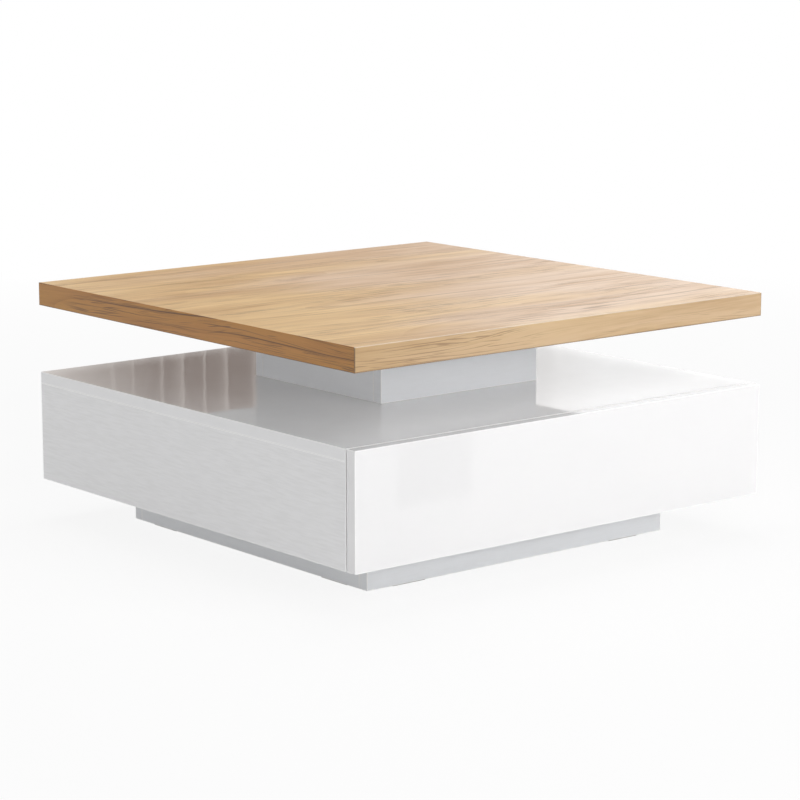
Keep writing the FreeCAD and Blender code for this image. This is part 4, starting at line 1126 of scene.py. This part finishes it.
def make_floor():
    """A plain pale floor that keeps a light shadow near the table and shows white far from it."""
    signs = ((-1, -1), (1, -1), (1, 1), (-1, 1))
    _, tree = studio_sheet("studio_floor", [(x * FLOOR_HALF, y * FLOOR_HALF, 0) for x, y in signs])
    diffuse = put(tree, "BsdfDiffuse", {"Color": FLOOR_COLOR}).outputs[0]
    glow = put(tree, "Emission", {"Strength": 1.0}).outputs[0]
    place = put(tree, "TexCoord").outputs["Object"]
    away = put(tree, "VectorMath", {0: place}, operation="LENGTH").outputs["Value"]
    share = times(seen(tree), spread(away, FLOOR_NEAR, FLOOR_FAR, FLOOR_SHARE, 1))
    surface = put(tree, "MixShader", {0: share, 1: diffuse, 2: glow}).outputs[0]
    put(tree, "OutputMaterial", {"Surface": surface})


def fade(heading, ends):
    """Nought at one heading and one at another, both in degrees."""
    return spread(heading, math.radians(ends[0]), math.radians(ends[1]))


def make_room():
    """An even white room. Mirrors also see the drape and, to its right, a bright window."""
    world = bpy.data.worlds.new("studio_room")
    bpy.context.scene.world = world
    world.use_nodes = True
    tree = world.node_tree
    tree.nodes.clear()
    x, y, z = axes_of(put(tree, "TexCoord").outputs["Generated"])
    heading = calc("ARCTAN2", x, y)
    share = times(times(fade(heading, DRAPE_END), fade(heading, DRAPE_START)), spread(z, *DRAPE_LIFT))
    folds = times(pleats(heading, 110, 70, 2.5, 7), 0.8)
    folds = calc("MAXIMUM", folds, fade(heading, DRAPE_LIGHT_END))
    mirror = mirrored(tree)
    picture = tint(share, ROOM_WHITE, tint(folds, DRAPE_DEEP, DRAPE_PALE))
    color = tint(mirror, ROOM_WHITE, picture)
    window = times(times(fade(heading, WINDOW_START), fade(heading, WINDOW_END)), mirror)
    strength = calc("MULTIPLY_ADD", window, WINDOW_LIGHT, spread(seen(tree), 0, 1, ROOM_LIGHT, 1))
    surface = put(tree, "Background", {"Color": color, "Strength": strength}).outputs[0]
    put(tree, "OutputWorld", {"Surface": surface})


def make_card():
    """A low card on the floor before the drawer, which only mirrors see.

    It is pale, with one grey panel, a thin joint, and soft pleats left of the panel."""
    low, high = (-CARD_REACH, CARD_PLACE), (CARD_REACH, CARD_PLACE)
    corners = [(*low, 0), (*high, 0), (*high, CARD_HEIGHT), (*low, CARD_HEIGHT)]
    card, tree = studio_sheet("studio_card", corners)
    card.visible_camera = card.visible_diffuse = card.visible_shadow = False
    x = axes_of(put(tree, "TexCoord").outputs["Object"])[0]
    start, end = CARD_PANEL
    panel = times(spread(x, start, start + CARD_EDGE), spread(x, end, end - CARD_EDGE))
    from_joint = calc("ABSOLUTE", calc("SUBTRACT", x, CARD_JOINT))
    joint = spread(from_joint, 0, CARD_EDGE, 0.6, 0)
    folds = times(pleats(x, 60, 30, 1, 3), spread(x, start, start - CARD_EDGE, 0, 0.6))
    share = calc("MAXIMUM", calc("MAXIMUM", panel, joint), folds)
    glow = put(tree, "Emission", {"Color": tint(share, CARD_PALE, CARD_GREY)}).outputs[0]
    put(tree, "OutputMaterial", {"Surface": glow})


def soft_lamp(name, place, size, power):
    """A rectangular lamp that faces the middle of the table, and that mirrors don't see."""
    lamp = bpy.data.lights.new(name, "AREA")
    lamp.shape = "RECTANGLE"
    lamp.size, lamp.size_y = size
    lamp.energy = power
    holder = new_object(name, lamp)
    holder.location = place
    aim = (cad_low + cad_high) / 2 - holder.location
    holder.rotation_euler = aim.to_track_quat("-Z", "Y").to_euler()
    holder.visible_glossy = False


make_floor()
make_room()
make_card()
for lamp in LAMPS:
    soft_lamp(*lamp)


# ------------------------ camera
# A long lens at sitting height, level across, looking down a little onto the table's near corner.
LENS = 119.46
CAMERA_TURN = math.radians(-39.4955)
CAMERA_PITCH = math.radians(10.6976)
CAMERA_DISTANCE = 4.0952
CAMERA_SIDE = 0.0071
CAMERA_HEIGHT = 0.9751

camera_data = bpy.data.cameras.new("camera")
camera_data.lens = LENS
camera = new_object("camera", camera_data)
back_x, back_y = math.sin(CAMERA_TURN), -math.cos(CAMERA_TURN)
camera.location = (
    back_x * CAMERA_DISTANCE - back_y * CAMERA_SIDE,
    back_y * CAMERA_DISTANCE + back_x * CAMERA_SIDE,
    CAMERA_HEIGHT,
)
camera.rotation_euler = (math.pi / 2 - CAMERA_PITCH, 0, CAMERA_TURN)
bpy.context.scene.camera = camera
bpy.context.scene.view_settings.view_transform = "Standard"
